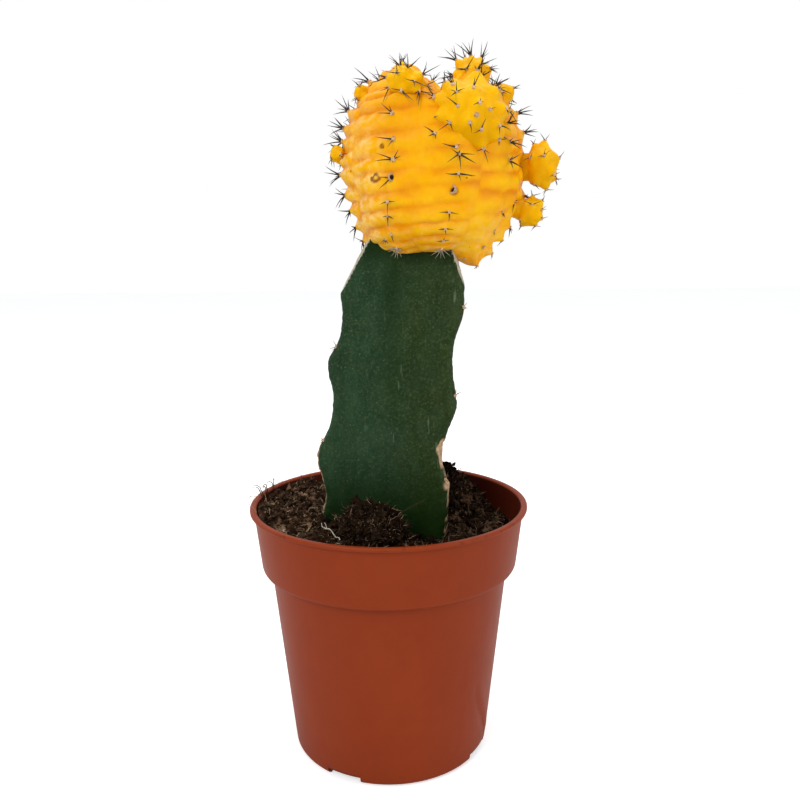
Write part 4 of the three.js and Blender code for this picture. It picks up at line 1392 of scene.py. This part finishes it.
def head_relief(angle, reach):
    """Height of the ribs, bands and areole knobs over the plain head, with the share of the band's swell
    and how far up the band each place lies. A band is a soft cushion that swells above its lower furrow
    and falls away slowly to the upper one; it dies out at the furrows between the ribs and at both poles.
    The relief is deeper on the crown and at the sides. Empty areoles are pits."""
    rib, across, width = rib_place(angle, reach)
    tall = np.interp(reach, MERIDIAN_REACH, MERIDIAN_TALL)
    side = smooth(np.abs(np.sin(angle)), 0.55, 0.95)
    below = smooth(tall, 5, -5)
    crown = smooth(reach, TOP_REACH - 42, TOP_REACH - 20)
    ends = smooth(reach, 8, 17) * smooth(reach, TOP_REACH - 1, TOP_REACH - 14)

    spread = np.stack([9 * np.sin(angle), 9 * np.cos(angle), 0.55 * reach], axis=-1)
    from_areole = across - AREOLE_SHARE[rib]
    sway = 0.9 * cloud(spread, 3.1, 2) * smooth(np.abs(from_areole), 0.02, 0.25)
    rise, band = band_place(rib, reach + sway)
    ridge = 1 - np.abs(2 * across - 1) ** (4 + 4 * side)
    swell = np.sin(np.pi * rise ** 0.78) ** 1.05
    depth = 0.44 + 0.3 * crown + side * (0.14 + 0.25 * below)
    depth = depth * np.clip(0.95 + 1.1 * cloud(spread + 30, 4.5, 2), 0.4, 2)
    depth = depth * (1 - 0.5 * (rib == 1) * smooth(tall, -16, -8))
    height = (0.35 + 0.4 * crown) * (ridge - 0.7) + depth * (swell - 0.5) * ridge * ends

    aside = from_areole * width * np.interp(reach, MERIDIAN_REACH, MERIDIAN_WIDE)
    above = (rise - AREOLE_RISE) * PITCHES[rib]
    knob = np.exp(-(aside / 2.0) ** 2 - (above / 1.5) ** 2) * ends
    nub = np.exp(-(aside / 1.2) ** 2 - (above / 1.1) ** 2) * ends
    height = height + (0.35 + side * (0.15 + 0.3 * below) + 0.5 * crown) * knob
    height = height + (0.12 + side * (0.1 + 0.15 * below)) * nub
    pit = 1.5 * np.exp(-((aside / 0.85) ** 2 + (above / 0.85) ** 2) ** 1.5)
    for pit_rib, pit_band in PITS:
        height = height - (rib == pit_rib) * (band == pit_band) * pit
    return height, swell * (0.6 + 0.4 * ridge) * ends, rise


LOOSE_AREOLES = [  # areoles off the ladders, most along the lower edge: place, rise of its lobe, arms
    ((34.2, -5, 161.4), 2.0, [(170, 3.6, 15), (140, 2.6, 25), (118, 2.0, 30), (-160, 1.6, 20)]),
    ((32.2, -5, 158.0), 1.9, [(172, 2.6, 15), (120, 1.0, 40)]),
    ((30.0, -6, 154.0), 1.9, [(175, 2.0, 20), (125, 1.8, 20), (150, 1.6, 30), (-150, 1.2, 30)]),
    ((26.2, -7, 150.2), 1.6, [(160, 1.5, 25), (-170, 1.8, 20), (110, 1.2, 30), (-130, 1.3, 30)]),
    ((34.3, -10.1, 168.1), 0.6, [(131, 3.4, 25), (155, 4.1, 20), (-70, 1.6, 30), (-110, 1.8, 30)]),
    ((31.0, -12.4, 165.0), 0.6, [(-20, 1.4, 40), (170, 1.8, 30), (137, 2.6, 20), (-90, 1.0, 40)]),
    ((30.0, -10.0, 160.0), 0.5, [(153, 1.7, 20), (-30, 1.0, 40)]),
    ((27.6, -10.0, 154.7), 0.5, [(-60, 1.2, 30), (60, 1.0, 30), (150, 1.4, 20), (-140, 1.2, 30)]),
    ((22.5, -10.0, 150.8), 0.4, [(160, 1.8, 20), (-120, 1.0, 30)]),
    ((-6.4, -6.0, 155.8), 1.2, [(-120, 1.8, 25), (-160, 2.0, 25), (-60, 1.4, 30)]),
    ((-1.0, -15.5, 154.8), 0.2, [(-95, 1.8, 40), (-130, 2.0, 40), (-165, 1.8, 40), (150, 1.6, 40)]),
    ((13.1, -24.1, 183.4), 0.5, [(-60, 4.2, 30), (-127, 3.2, 35), (172, 2.8, 35), (-150, 1.6, 60)]),
    ((18.9, -24.0, 180.4), 0.6, [(-93, 5.6, 25), (60, 1.4, 40)]),
]
SCARS = [(-2.2, 172.9, 1.4), (-0.5, 181.0, 0.6)]  # rusty rings on the front: x, z and radius


def head_skin(angle, reach):
    """Point of the head at an angle round from the front and a reach up its meridian. The plain barrel
    carries the relief, leans over, sinks along the cleft between its two crowns, draws in low on both
    sides, and droops past the graft on the right."""
    polar = np.interp(reach, MERIDIAN_REACH, MERIDIAN_POLAR)
    wide, tall = barrel(polar)
    local = HEAD_RADII * np.stack([wide * np.sin(angle), -wide * np.cos(angle), tall], axis=-1)
    height = head_relief(angle, reach)[0]
    local = local * (1 + height / np.linalg.norm(local, axis=-1))[..., None]
    c, s = math.cos(HEAD_TILT), math.sin(HEAD_TILT)
    x = local[..., 0] * c + local[..., 2] * s + HEAD_CENTRE[0]
    y = local[..., 1] + HEAD_CENTRE[1]
    z = -local[..., 0] * s + local[..., 2] * c + HEAD_CENTRE[2]
    x = x - 3.4 * smooth(x, 22, 35) * smooth(z, 170, 156) + 1.7 * smooth(x, -1, -9) * smooth(z, 177, 168)
    cleft = np.exp(-((x - 16) / 5) ** 2) * smooth(z, 188, 204)
    skirt = np.exp(-((x - 25.6) ** 2 + (y + 5) ** 2) / 34) * smooth(z, 168, 156)
    place = np.stack([x, y, z - 7.5 * cleft - 4.2 * skirt], axis=-1)
    away = unit(place - HEAD_CENTRE)
    uneven = 0.6 * cloud(place, 13.0, 2) + 0.35 * cloud(place + 90, 5.5) + 0.12 * cloud(place + 50, 2.6, 2)
    for nub, rise, _ in LOOSE_AREOLES:
        uneven = uneven + rise * np.exp(-np.sum((place - nub) ** 2, axis=-1) / 2.6)
    return place + away * uneven[..., None]


HEAD_COLUMNS, HEAD_ROWS = 400, 204


def scar_field(rings):
    """Rings of rusty skin: 1 between each scar's radius and a hole in its middle, with a ragged edge."""
    scar = np.zeros(rings.shape[:2])
    ragged = 0.5 * cloud(rings, 1.1, 2)
    for x, z, size in SCARS:
        apart = np.hypot(rings[..., 0] - x, rings[..., 2] - z) + ragged
        ring = smooth(apart, size, size - 0.35) * smooth(apart, size - 1.1, size - 0.75)
        scar = np.maximum(scar, ring * (rings[..., 1] < -10))
    return scar


def head_shape():
    """Rings of the head's skin from the graft to the crown. Clouds make the painted shade of the furrows
    fainter or stronger. The bloom, partly a painted highlight, lies on the upper sides of the bands, most
    of all on the left and low on the right, and the skin is warmer at the graft as painted shade and on
    the crown as young tissue."""
    angle = around(HEAD_COLUMNS) + np.zeros((HEAD_ROWS, 1))
    reach = np.linspace(0.6, TOP_REACH - 0.4, HEAD_ROWS)[:, None] + np.zeros(HEAD_COLUMNS)
    rings = head_skin(angle, reach)
    _, swell, rise = head_relief(angle, reach)
    x, _, z = np.moveaxis(rings, -1, 0)
    # painted highlight: upper marks the side of each band that faces the light from above
    upper = smooth(rise, 0.3, 0.7) * smooth(rise, 1.0, 0.8) * smooth(swell, 0.02, 0.4)
    low = smooth(z, 168, 153)
    # partly painted highlight: chalky bloom is strongest on the lit left and lifts the low skin
    chalky = np.clip(0.02 + 1.2 * smooth(x, 4, -8) + 0.4 * low + 0.1 * low * smooth(x, 22, 30), 0, 1)
    # painted shade at the graft; young tissue on the crown
    warm = 0.3 * smooth(z, 155, 151) + 0.35 * smooth(z, 176, 192)
    marked = np.clip(0.95 + 1.5 * cloud(rings, 9.0, 2) + 0.3 * smooth(x, 6, -8), 0.45, 1.3)
    fields = {
        "swell": 1 - (1 - swell) * marked,
        "bloom": (0.45 + 0.55 * upper) * chalky,
        "warm": warm,
        "scar": scar_field(rings),
    }
    vertices, faces = closed_skin(rings, rings[0].mean(axis=0), rings[-1].mean(axis=0))
    return vertices, faces, {label: with_ends(field, 0, 0) for label, field in fields.items()}


FRONT_ARMS = {  # spines of the areoles that face forward, by rib and band: direction, length, lift
    (0, 4): [(-52, 4.6, 40), (-98, 4.9, 30), (-15, 2.6, 60), (140, 1.5, 40)],
    (0, 3): [(-91, 5.6, 28), (-155, 3.6, 30), (20, 1.2, 60)],
    (0, 2): [(-72, 5.6, 28), (-97, 6.0, 25), (38, 3.8, 35), (78, 3.0, 35), (180, 1.2, 40)],
    (0, 1): [(-88, 4.6, 18), (-131, 5.8, 15), (180, 3.6, 15), (125, 4.8, 15), (82, 2.6, 20)],
    (0, 0): [(-105, 2.6, 20), (95, 3.2, 20), (178, 4.2, 15)],
    (0, -1): [(-100, 1.7, 20), (110, 2.4, 20), (180, 3.4, 15)],
    (0, -2): [(175, 3.0, 15)],
    (0, -3): [
        (-68, 3.4, 25), (-95, 3.9, 28), (-125, 3.8, 45), (-160, 3.6, 58), (165, 3.6, 58), (128, 3.6, 45),
        (93, 3.6, 28),
    ],
    (1, 2): [(-72, 4.4, 35), (-117, 5.8, 28), (180, 5.2, 25), (122, 6.2, 28), (88, 4.8, 28), (-28, 2.4, 60)],
    (1, 1): [(-102, 5.2, 22), (97, 4.8, 22), (103, 5.4, 26), (168, 2.8, 25)],
    (1, 0): [],
    (1, -1): [(-90, 3.4, 18), (104, 3.2, 18), (180, 3.0, 15)],
    (1, -2): [(-92, 2.4, 18), (88, 2.8, 18), (180, 2.0, 15)],
    (1, -3): [(-84, 2.6, 18), (70, 2.2, 18), (10, 1.6, 18)],
    (1, -4): [
        (-72, 3.6, 25), (-104, 4.2, 30), (-142, 3.8, 48), (178, 3.4, 58), (145, 4.0, 48), (108, 4.2, 30),
        (76, 3.4, 25),
    ],
}


SEARCH_COLUMNS, SEARCH_ROWS = 240, 160
LOWEST_AREOLE, HIGHEST_AREOLE = 15, TOP_REACH - 12
NEAREST_AREOLES = 3.0


def on_head(targets):
    """Angle and reach of the places on the head nearest to the targets, found on a grid."""
    angle, reach = np.meshgrid(around(SEARCH_COLUMNS), np.linspace(3, TOP_REACH - 3, SEARCH_ROWS))
    grid = head_skin(angle, reach)
    apart = np.linalg.norm(grid[..., None, :] - targets, axis=-1).reshape(-1, len(targets))
    nearest = np.argmin(apart, axis=0)
    return angle.ravel()[nearest], reach.ravel()[nearest]


def head_areoles(rng):
    """Angle, reach, rib and band of every areole on the head. Rib -1 stands for the loose ones, which also
    take the place of the third rib's lower ladder, and their band is their number in the list."""
    lobes = np.array([place for place, _, _ in LOOSE_AREOLES])
    rises = np.array([[rise] for _, rise, _ in LOOSE_AREOLES])
    places = lobes + rises * unit(lobes - HEAD_CENTRE)
    rows = [(angle, reach, -1, k) for k, (angle, reach) in enumerate(zip(*on_head(places)))]
    for rib in range(RIBS):
        angle = FURROWS[rib] + AREOLE_SHARE[rib] * (FURROWS[rib + 1] - FURROWS[rib])
        for band, reach in zip(BANDS, LADDERS[rib]):
            if LOWEST_AREOLE < reach < HIGHEST_AREOLE and not (rib == 2 and reach < ANCHORS[2] + 1):
                rows.append((angle + rib_turn(reach) + rng.normal(0, 0.012), reach, rib, band))
    return np.array(rows)


def head_arms(rng, keys, place):
    """Spines of each areole: those chosen for it, or random ones, more and longer towards the crown and
    on the left."""
    arms = []
    for key, tall, left in zip(keys, smooth(place[:, 2], 158, 180), smooth(place[:, 0], 2, -8)):
        count = int(round(3 + 1.2 * tall + 1.5 * left + rng.uniform(-0.6, 1.0)))
        shortest, longest = (1 + 0.25 * left) * np.array([2.2 + 1.5 * tall, 4.0 + 2.2 * tall])
        some = random_arms(rng, count, shortest, longest, 24 + 26 * tall)
        rib, band = key
        arms.append(LOOSE_AREOLES[band][2] if rib < 0 else FRONT_ARMS.get(key, some))
    return arms


def free_areoles(keys, place):
    """Which areoles are kept: not those of a rib that lie under an offset, nor any so near to an earlier
    one that they would run together, unless its spines were chosen for it."""
    loose = np.array([rib < 0 for rib, _ in keys])
    chosen = np.array([key in FRONT_ARMS for key in keys])
    apart = np.linalg.norm(place[:, None] - place, axis=-1) + 99 * np.triu(np.ones((len(place),) * 2))
    return (~covered(place) | loose) & ((apart.min(axis=1) > NEAREST_AREOLES) | chosen)


def make_pits(rng, frame_of, felt, pit):
    """A raised rim and a near-black floor, painted shade of the hole, for each of the empty areoles, just
    off the bottom of its pit.
    """
    place, right, up, normal = frame_of
    holes = place + 1.15 * normal, right, up, normal
    count = len(place)
    vertices, faces = stamped(RING_PROFILE, 20, *holes, np.full(count, 1.02), rng, 0.05)
    rims = vertices, faces, {"tone": np.full(len(vertices), 0.35)}
    make_piece("pit_rims", rims, felt)
    # painted shade: a near-black floor placed in each pit
    vertices, faces = stamped(PLUG_PROFILE, 16, *holes, np.full(count, 1.12), rng, 0.08)
    make_piece("pit_shade_floors", (vertices, faces, {}), pit)


def make_head(skin, spine, felt, pit):
    """The head, its spines and felt pads, and its two empty areoles."""
    rng = np.random.default_rng(41)
    make_piece("grafted_head", head_shape(), skin, "scion_head")
    rows = head_areoles(rng)
    frame_of = stand_on(head_skin, rows[:, 0], rows[:, 1], HEAD_CENTRE)
    place = frame_of[0]
    keys = [(int(rib), int(band)) for rib, band in rows[:, 2:]]
    free = free_areoles(keys, place)
    arms = [some if kept else [] for some, kept in zip(head_arms(rng, keys, place), free)]
    pale = smooth(place[:, 2], 157.5, 154)
    make_piece("head_spines", spine_shape(frame_of, arms, rng, 0.24, pale), spine)
    sizes = 0.46 + 0.18 * smooth(place[:, 2], 158, 180) + rng.uniform(-0.1, 0.1, len(place))
    empty = np.array([key in PITS for key in keys])
    felted = free & ~empty
    pads = pad_shape([part[felted] for part in frame_of], sizes[felted], rng, 0.4)
    make_piece("head_felt", pads, felt)
    make_pits(rng, [part[empty] for part in frame_of], felt, pit)


# ---- offsets -----------------------------------------------------------------------------------------

OFFSETS = [  # node, centre, radius, height over width, root, neck, knobs, knob height, spine length
    ("offset_front_large", (22.6, -17, 188.7), 9.3, 1.0, (18, -6, 184), 7, 24, 1.8, 3.8),
    ("offset_crown_left", (6.2, -16.4, 197.2), 4.3, 0.95, (7, -8, 192), 3.6, 14, 1.2, 4.9),
    ("offset_crown_tip", (4.5, -1, 202.3), 3.0, 1.0, (8, 0, 195), 2.4, 8, 0.9, 3.2),
    ("offset_crown_right", (24.7, -3, 201), 4.6, 1.15, (22, -1, 195), 3.4, 15, 1.4, 5.2),
    ("offset_shoulder_right", (33.4, -3, 196.8), 2.8, 1.0, (30, -1, 188), 1.9, 6, 0.35, 2.6),
    ("offset_side_right", (44.4, -3, 177.3), 4.5, 1.28, (34, 0, 177), 3, 13, 0.95, 3.2),
    ("offset_lower_right", (41.2, -4, 164.5), 3.6, 1.1, (31, -1, 168.4), 2.9, 13, 0.75, 2.6),
    ("offset_left_edge", (-13.3, -3, 181), 2.1, 1.0, (-8, -1, 181), 1.6, 7, 0.6, 3.0),
    ("offset_left_shoulder", (-6.2, -4, 197), 2.1, 1.0, (0, -1, 190), 1.7, 7, 0.6, 2.8),
    ("offset_back_high", (13, 15, 197), 6.3, 1.0, (13, 7, 188), 4.5, 20, 0.8, 3.6),
    ("offset_back_left", (-3, 18, 184), 5.3, 1.0, (3, 10, 182), 3.8, 16, 0.8, 3.4),
    ("offset_back_right", (29, 19, 176), 5.8, 1.0, (22, 10, 177), 4, 18, 0.8, 3.4),
]
OFFSET_KNOBS = {  # tips of the knobs that face forward
    "offset_front_large": [
        (18.1, -24.4, 195.3), (22.9, -26.5, 194), (19, -27.2, 189.9), (24.3, -27.7, 190.3),
        (27.4, -26.8, 189.1), (31.6, -23.1, 189.8), (13.6, -21.6, 192.8), (17, -25.9, 186),
        (22, -27.5, 185.8), (25.3, -26.5, 184), (29.8, -22.3, 182.5), (23.7, -27.8, 187.6),
    ],
    "offset_crown_left": [
        (6.5, -20, 200.7), (9.9, -19.3, 198.8), (1.7, -18, 196.1), (4, -20.5, 198.9), (4.9, -20.5, 195),
        (8, -21, 197.1), (8.9, -19.8, 195.1),
    ],
    "offset_crown_right": [
        (24.1, -4.9, 206.4), (20.7, -3.6, 205.3), (26.7, -7.5, 203.7), (29, -6, 202.9), (19.6, -4.8, 201.6),
        (22.7, -7.9, 202.5), (20.8, -6.7, 200),
    ],
    "offset_side_right": [
        (42.1, -3.1, 183.7), (45.1, -4.4, 183.4), (49.2, -4, 179.3), (44.4, -7.8, 179.4), (41.1, -6.6, 179.1),
        (49.1, -3.7, 173.2), (45.7, -4.7, 171.5), (40.9, -2.2, 172.7),
    ],
    "offset_lower_right": [
        (42, -4.4, 168.7), (44.4, -4.7, 167.2), (44.3, -6.7, 164.9), (44.2, -6.5, 162.6), (42.7, -5.4, 161.1),
        (38.6, -3.5, 160.2), (37.5, -5.6, 165.2), (41.5, -7.7, 166.4),
    ],
}


FRONT_PUP_ARMS = [  # spines of the large front offset's first knobs, in the same order
    [(-57, 5.2, 35), (-37, 4.3, 40), (5, 3.4, 60)],
    [(30, 5.3, 45), (8, 3.2, 50)],
    [(-50, 4.7, 35)],
    [(-108, 3.2, 30), (0, 1.6, 50), (80, 1.2, 40)],
    [(72, 1.9, 30)],
    [(150, 1.6, 30), (100, 1.4, 30), (180, 2.2, 30)],
    [(-32, 5.6, 35), (-62, 3.4, 35), (-104, 3.4, 35)],
    [(-121, 4.2, 25), (152, 3.4, 25), (-40, 1.5, 40)],
    [(162, 3.2, 25)],
    [(0, 4.6, 25), (-111, 2.8, 25)],
    [(67, 2.6, 30), (148, 2.0, 30), (180, 1.8, 30), (-56, 1.4, 40)],
    [(-120, 1.2, 40)],
]


def covered(places):
    """Whether each place on the head lies under an offset."""
    under = np.zeros(len(places), bool)
    for _, centre, radius, _, root, neck, *_ in OFFSETS:
        centre, root = np.array(centre), np.array(root, float)
        under |= np.linalg.norm(places - centre, axis=1) < radius + 1.3
        t = np.clip((places - root) @ (centre - root) / np.sum((centre - root) ** 2), 0, 1)
        under |= np.linalg.norm(places - root - t[:, None] * (centre - root), axis=1) < neck + 0.5
    return under


GOLDEN_ANGLE = math.radians(137.508)


class Offset:
    """A small knobbly ball on a short neck. Its axis runs from its root through its centre to its
    growing point, and its knobs lie on a spiral of golden angles round that axis."""

    def __init__(self, centre, radius, tall, root, neck, knobs, knob_height, forward=()):
        self.centre, self.root = np.array(centre, float), np.array(root, float)
        self.radius, self.tall, self.neck, self.knob_height = radius, tall, neck, knob_height
        self.axis = unit(self.centre - self.root)
        self.side = unit(np.cross(self.axis, np.eye(3)[np.argmin(np.abs(self.axis))]))
        self.up = np.cross(self.axis, self.side)
        self.neck_turn = math.pi - math.asin(neck / radius)
        stalk = np.linalg.norm(self.centre - self.root) - radius * math.cos(math.pi - self.neck_turn)
        self.ball = radius * self.neck_turn
        self.length = self.ball + max(stalk, 0.5)
        number = np.arange(knobs)
        polar = 2.15 * np.sqrt((number + 0.6) / knobs)
        turn = number * GOLDEN_ANGLE + radius
        self.knobs = self.way(polar, turn)
        if len(forward):
            given = unit((np.array(forward) - self.centre) / (1, 1, tall))
            clear = np.max(self.knobs @ given.T, axis=1) < 1 - (2.4 / radius) ** 2 / 2
            self.knobs = np.concatenate([given, self.knobs[clear]])
        wide = (0.85 + 0.11 * radius) / radius
        self.widths = wide * (1 + 0.16 * np.sin(5.3 * np.arange(len(self.knobs)) + radius))
        self.rises = 1 + 0.3 * np.sin(3.7 * np.arange(len(self.knobs)) + radius)

    def way(self, polar, turn):
        """Unit direction at an angle from the axis and a turn round it."""
        flat = np.cos(turn)[..., None] * self.side + np.sin(turn)[..., None] * self.up
        return np.cos(polar)[..., None] * self.axis + np.sin(polar)[..., None] * flat

    def swell(self, way):
        """Soft knobs on the ball: each is a bell about its tip, and bells that meet run smoothly into
        each other."""
        apart = np.arccos(np.clip(way @ self.knobs.T, -1, 1)) / self.widths
        return np.sum((self.rises * np.exp(-apart ** 2)) ** 3, axis=-1) ** (1 / 3)

    def skin(self, turn, reach):
        """Point at a turn round the axis and a reach from the neck's root towards the growing point. On
        the ball the knobs stand out; past it the skin runs down the neck."""
        from_top = self.length - reach
        polar = np.minimum(from_top, self.ball) / self.radius
        way = self.way(polar, turn)
        knob = self.swell(way) * smooth(polar, self.neck_turn, self.neck_turn - 0.5)
        ball = way * (self.radius + self.knob_height * knob)[..., None]
        down = np.maximum(from_top - self.ball, 0)
        place = self.centre + (ball - self.axis * down[..., None]) * (1, 1, self.tall)
        uneven = 0.05 * self.radius * cloud(place, 0.8 * self.radius, 2) + 0.08 * cloud(place + 20, 1.6, 2)
        return place + way * uneven[..., None]

    def shape(self, columns, rows):
        """Rings of the skin from the neck's root to the growing point. The bloom lies on upper sides and on
        the
            knobs, partly as a painted highlight, and the underside is warmer as painted shade."""
        turn = around(columns) + np.zeros((rows, 1))
        reach = np.linspace(0.02 * self.length, self.length - 0.1, rows)[:, None] + np.zeros(columns)
        rings = self.skin(turn, reach)
        vertices, faces = closed_skin(rings, rings[0].mean(axis=0), rings[-1].mean(axis=0))
        way = unit((vertices - self.centre) / (1, 1, self.tall))
        dome = np.clip(self.swell(way), 0, 1)
        facing = way[:, 2]
        # painted shade: the underside takes the warm valley colour
        warm = 0.55 * smooth(facing, -0.05, -0.85)
        # partly painted highlight: bloom on the sides that face up
        bloom = smooth(facing, 0.0, 0.9) * (0.3 + 0.7 * dome)
        return vertices, faces, {"swell": 0.3 + 0.55 * dome, "bloom": bloom, "warm": warm}

    def knob_places(self):
        """Turn and reach of each knob's felt point."""
        polar = np.arccos(np.clip(self.knobs @ self.axis, -1, 1))
        turn = np.arctan2(self.knobs @ self.up, self.knobs @ self.side)
        return turn, self.length - polar * self.radius


LARGE_PUP_COLUMNS, PUP_COLUMNS = 170, 82


def make_offsets(skin, spine, felt):
    """The offsets, and the spines and felt on the knobs of all of them. Spines are more upright on the
    crown, and the large front offset's are chosen."""
    rng = np.random.default_rng(51)
    spines, pads = [], []
    for name, centre, radius, tall, root, neck, knobs, knob_height, spine_length in OFFSETS:
        offset = Offset(centre, radius, tall, root, neck, knobs, knob_height, OFFSET_KNOBS.get(name, ()))
        large = name == "offset_front_large"
        columns = LARGE_PUP_COLUMNS if large else PUP_COLUMNS
        shape = offset.shape(columns, int(0.75 * columns))
        make_piece(name.replace("offset", "pup"), shape, skin, name)
        turn, reach = offset.knob_places()
        seen = reach > offset.length - offset.ball * 0.93
        frame_of = stand_on(offset.skin, turn[seen], reach[seen], offset.centre)
        arms = []
        for top in smooth(frame_of[0][:, 2], 192, 200):
            count = int(rng.integers(2, 4) + round(2 * top))
            some = random_arms(rng, count, 0.5 * spine_length, 1.3 * spine_length, 32 + 26 * top, 28)
            arms.append(some)
        if large:
            arms[:len(FRONT_PUP_ARMS)] = FRONT_PUP_ARMS
        thick = 0.22 if large else 0.19
        spines.append(spine_shape(frame_of, arms, rng, thick, np.zeros(len(arms))))
        sizes = rng.uniform(0.8, 1.1, len(arms)) * (0.42 + 0.022 * radius)
        pads.append(pad_shape(frame_of, sizes, rng, 0.3))
    make_piece("pup_spines", merged(spines), spine)
    make_piece("pup_felt", merged(pads), felt)


# ---- assembly ----------------------------------------------------------------------------------------

add_camera()
add_studio()
make_pot()
make_peat()
make_rootstock()
horn, wool_felt = spine_material(), felt_material()
scion_skin = scion_material(
    "scion_skin", (0.8, 0.265, 0.0003), (0.905, 0.375, 0.0002), (0.95, 0.485, 0.0004), (0.98, 0.65, 0.2))
offset_skin = scion_material(
    "offset_skin", (0.71, 0.37, 0.0004), (0.89, 0.43, 0.0004), (0.94, 0.5, 0.0008), (0.97, 0.65, 0.05))
make_head(scion_skin, horn, wool_felt, pit_shade_material())
make_offsets(offset_skin, horn, wool_felt)
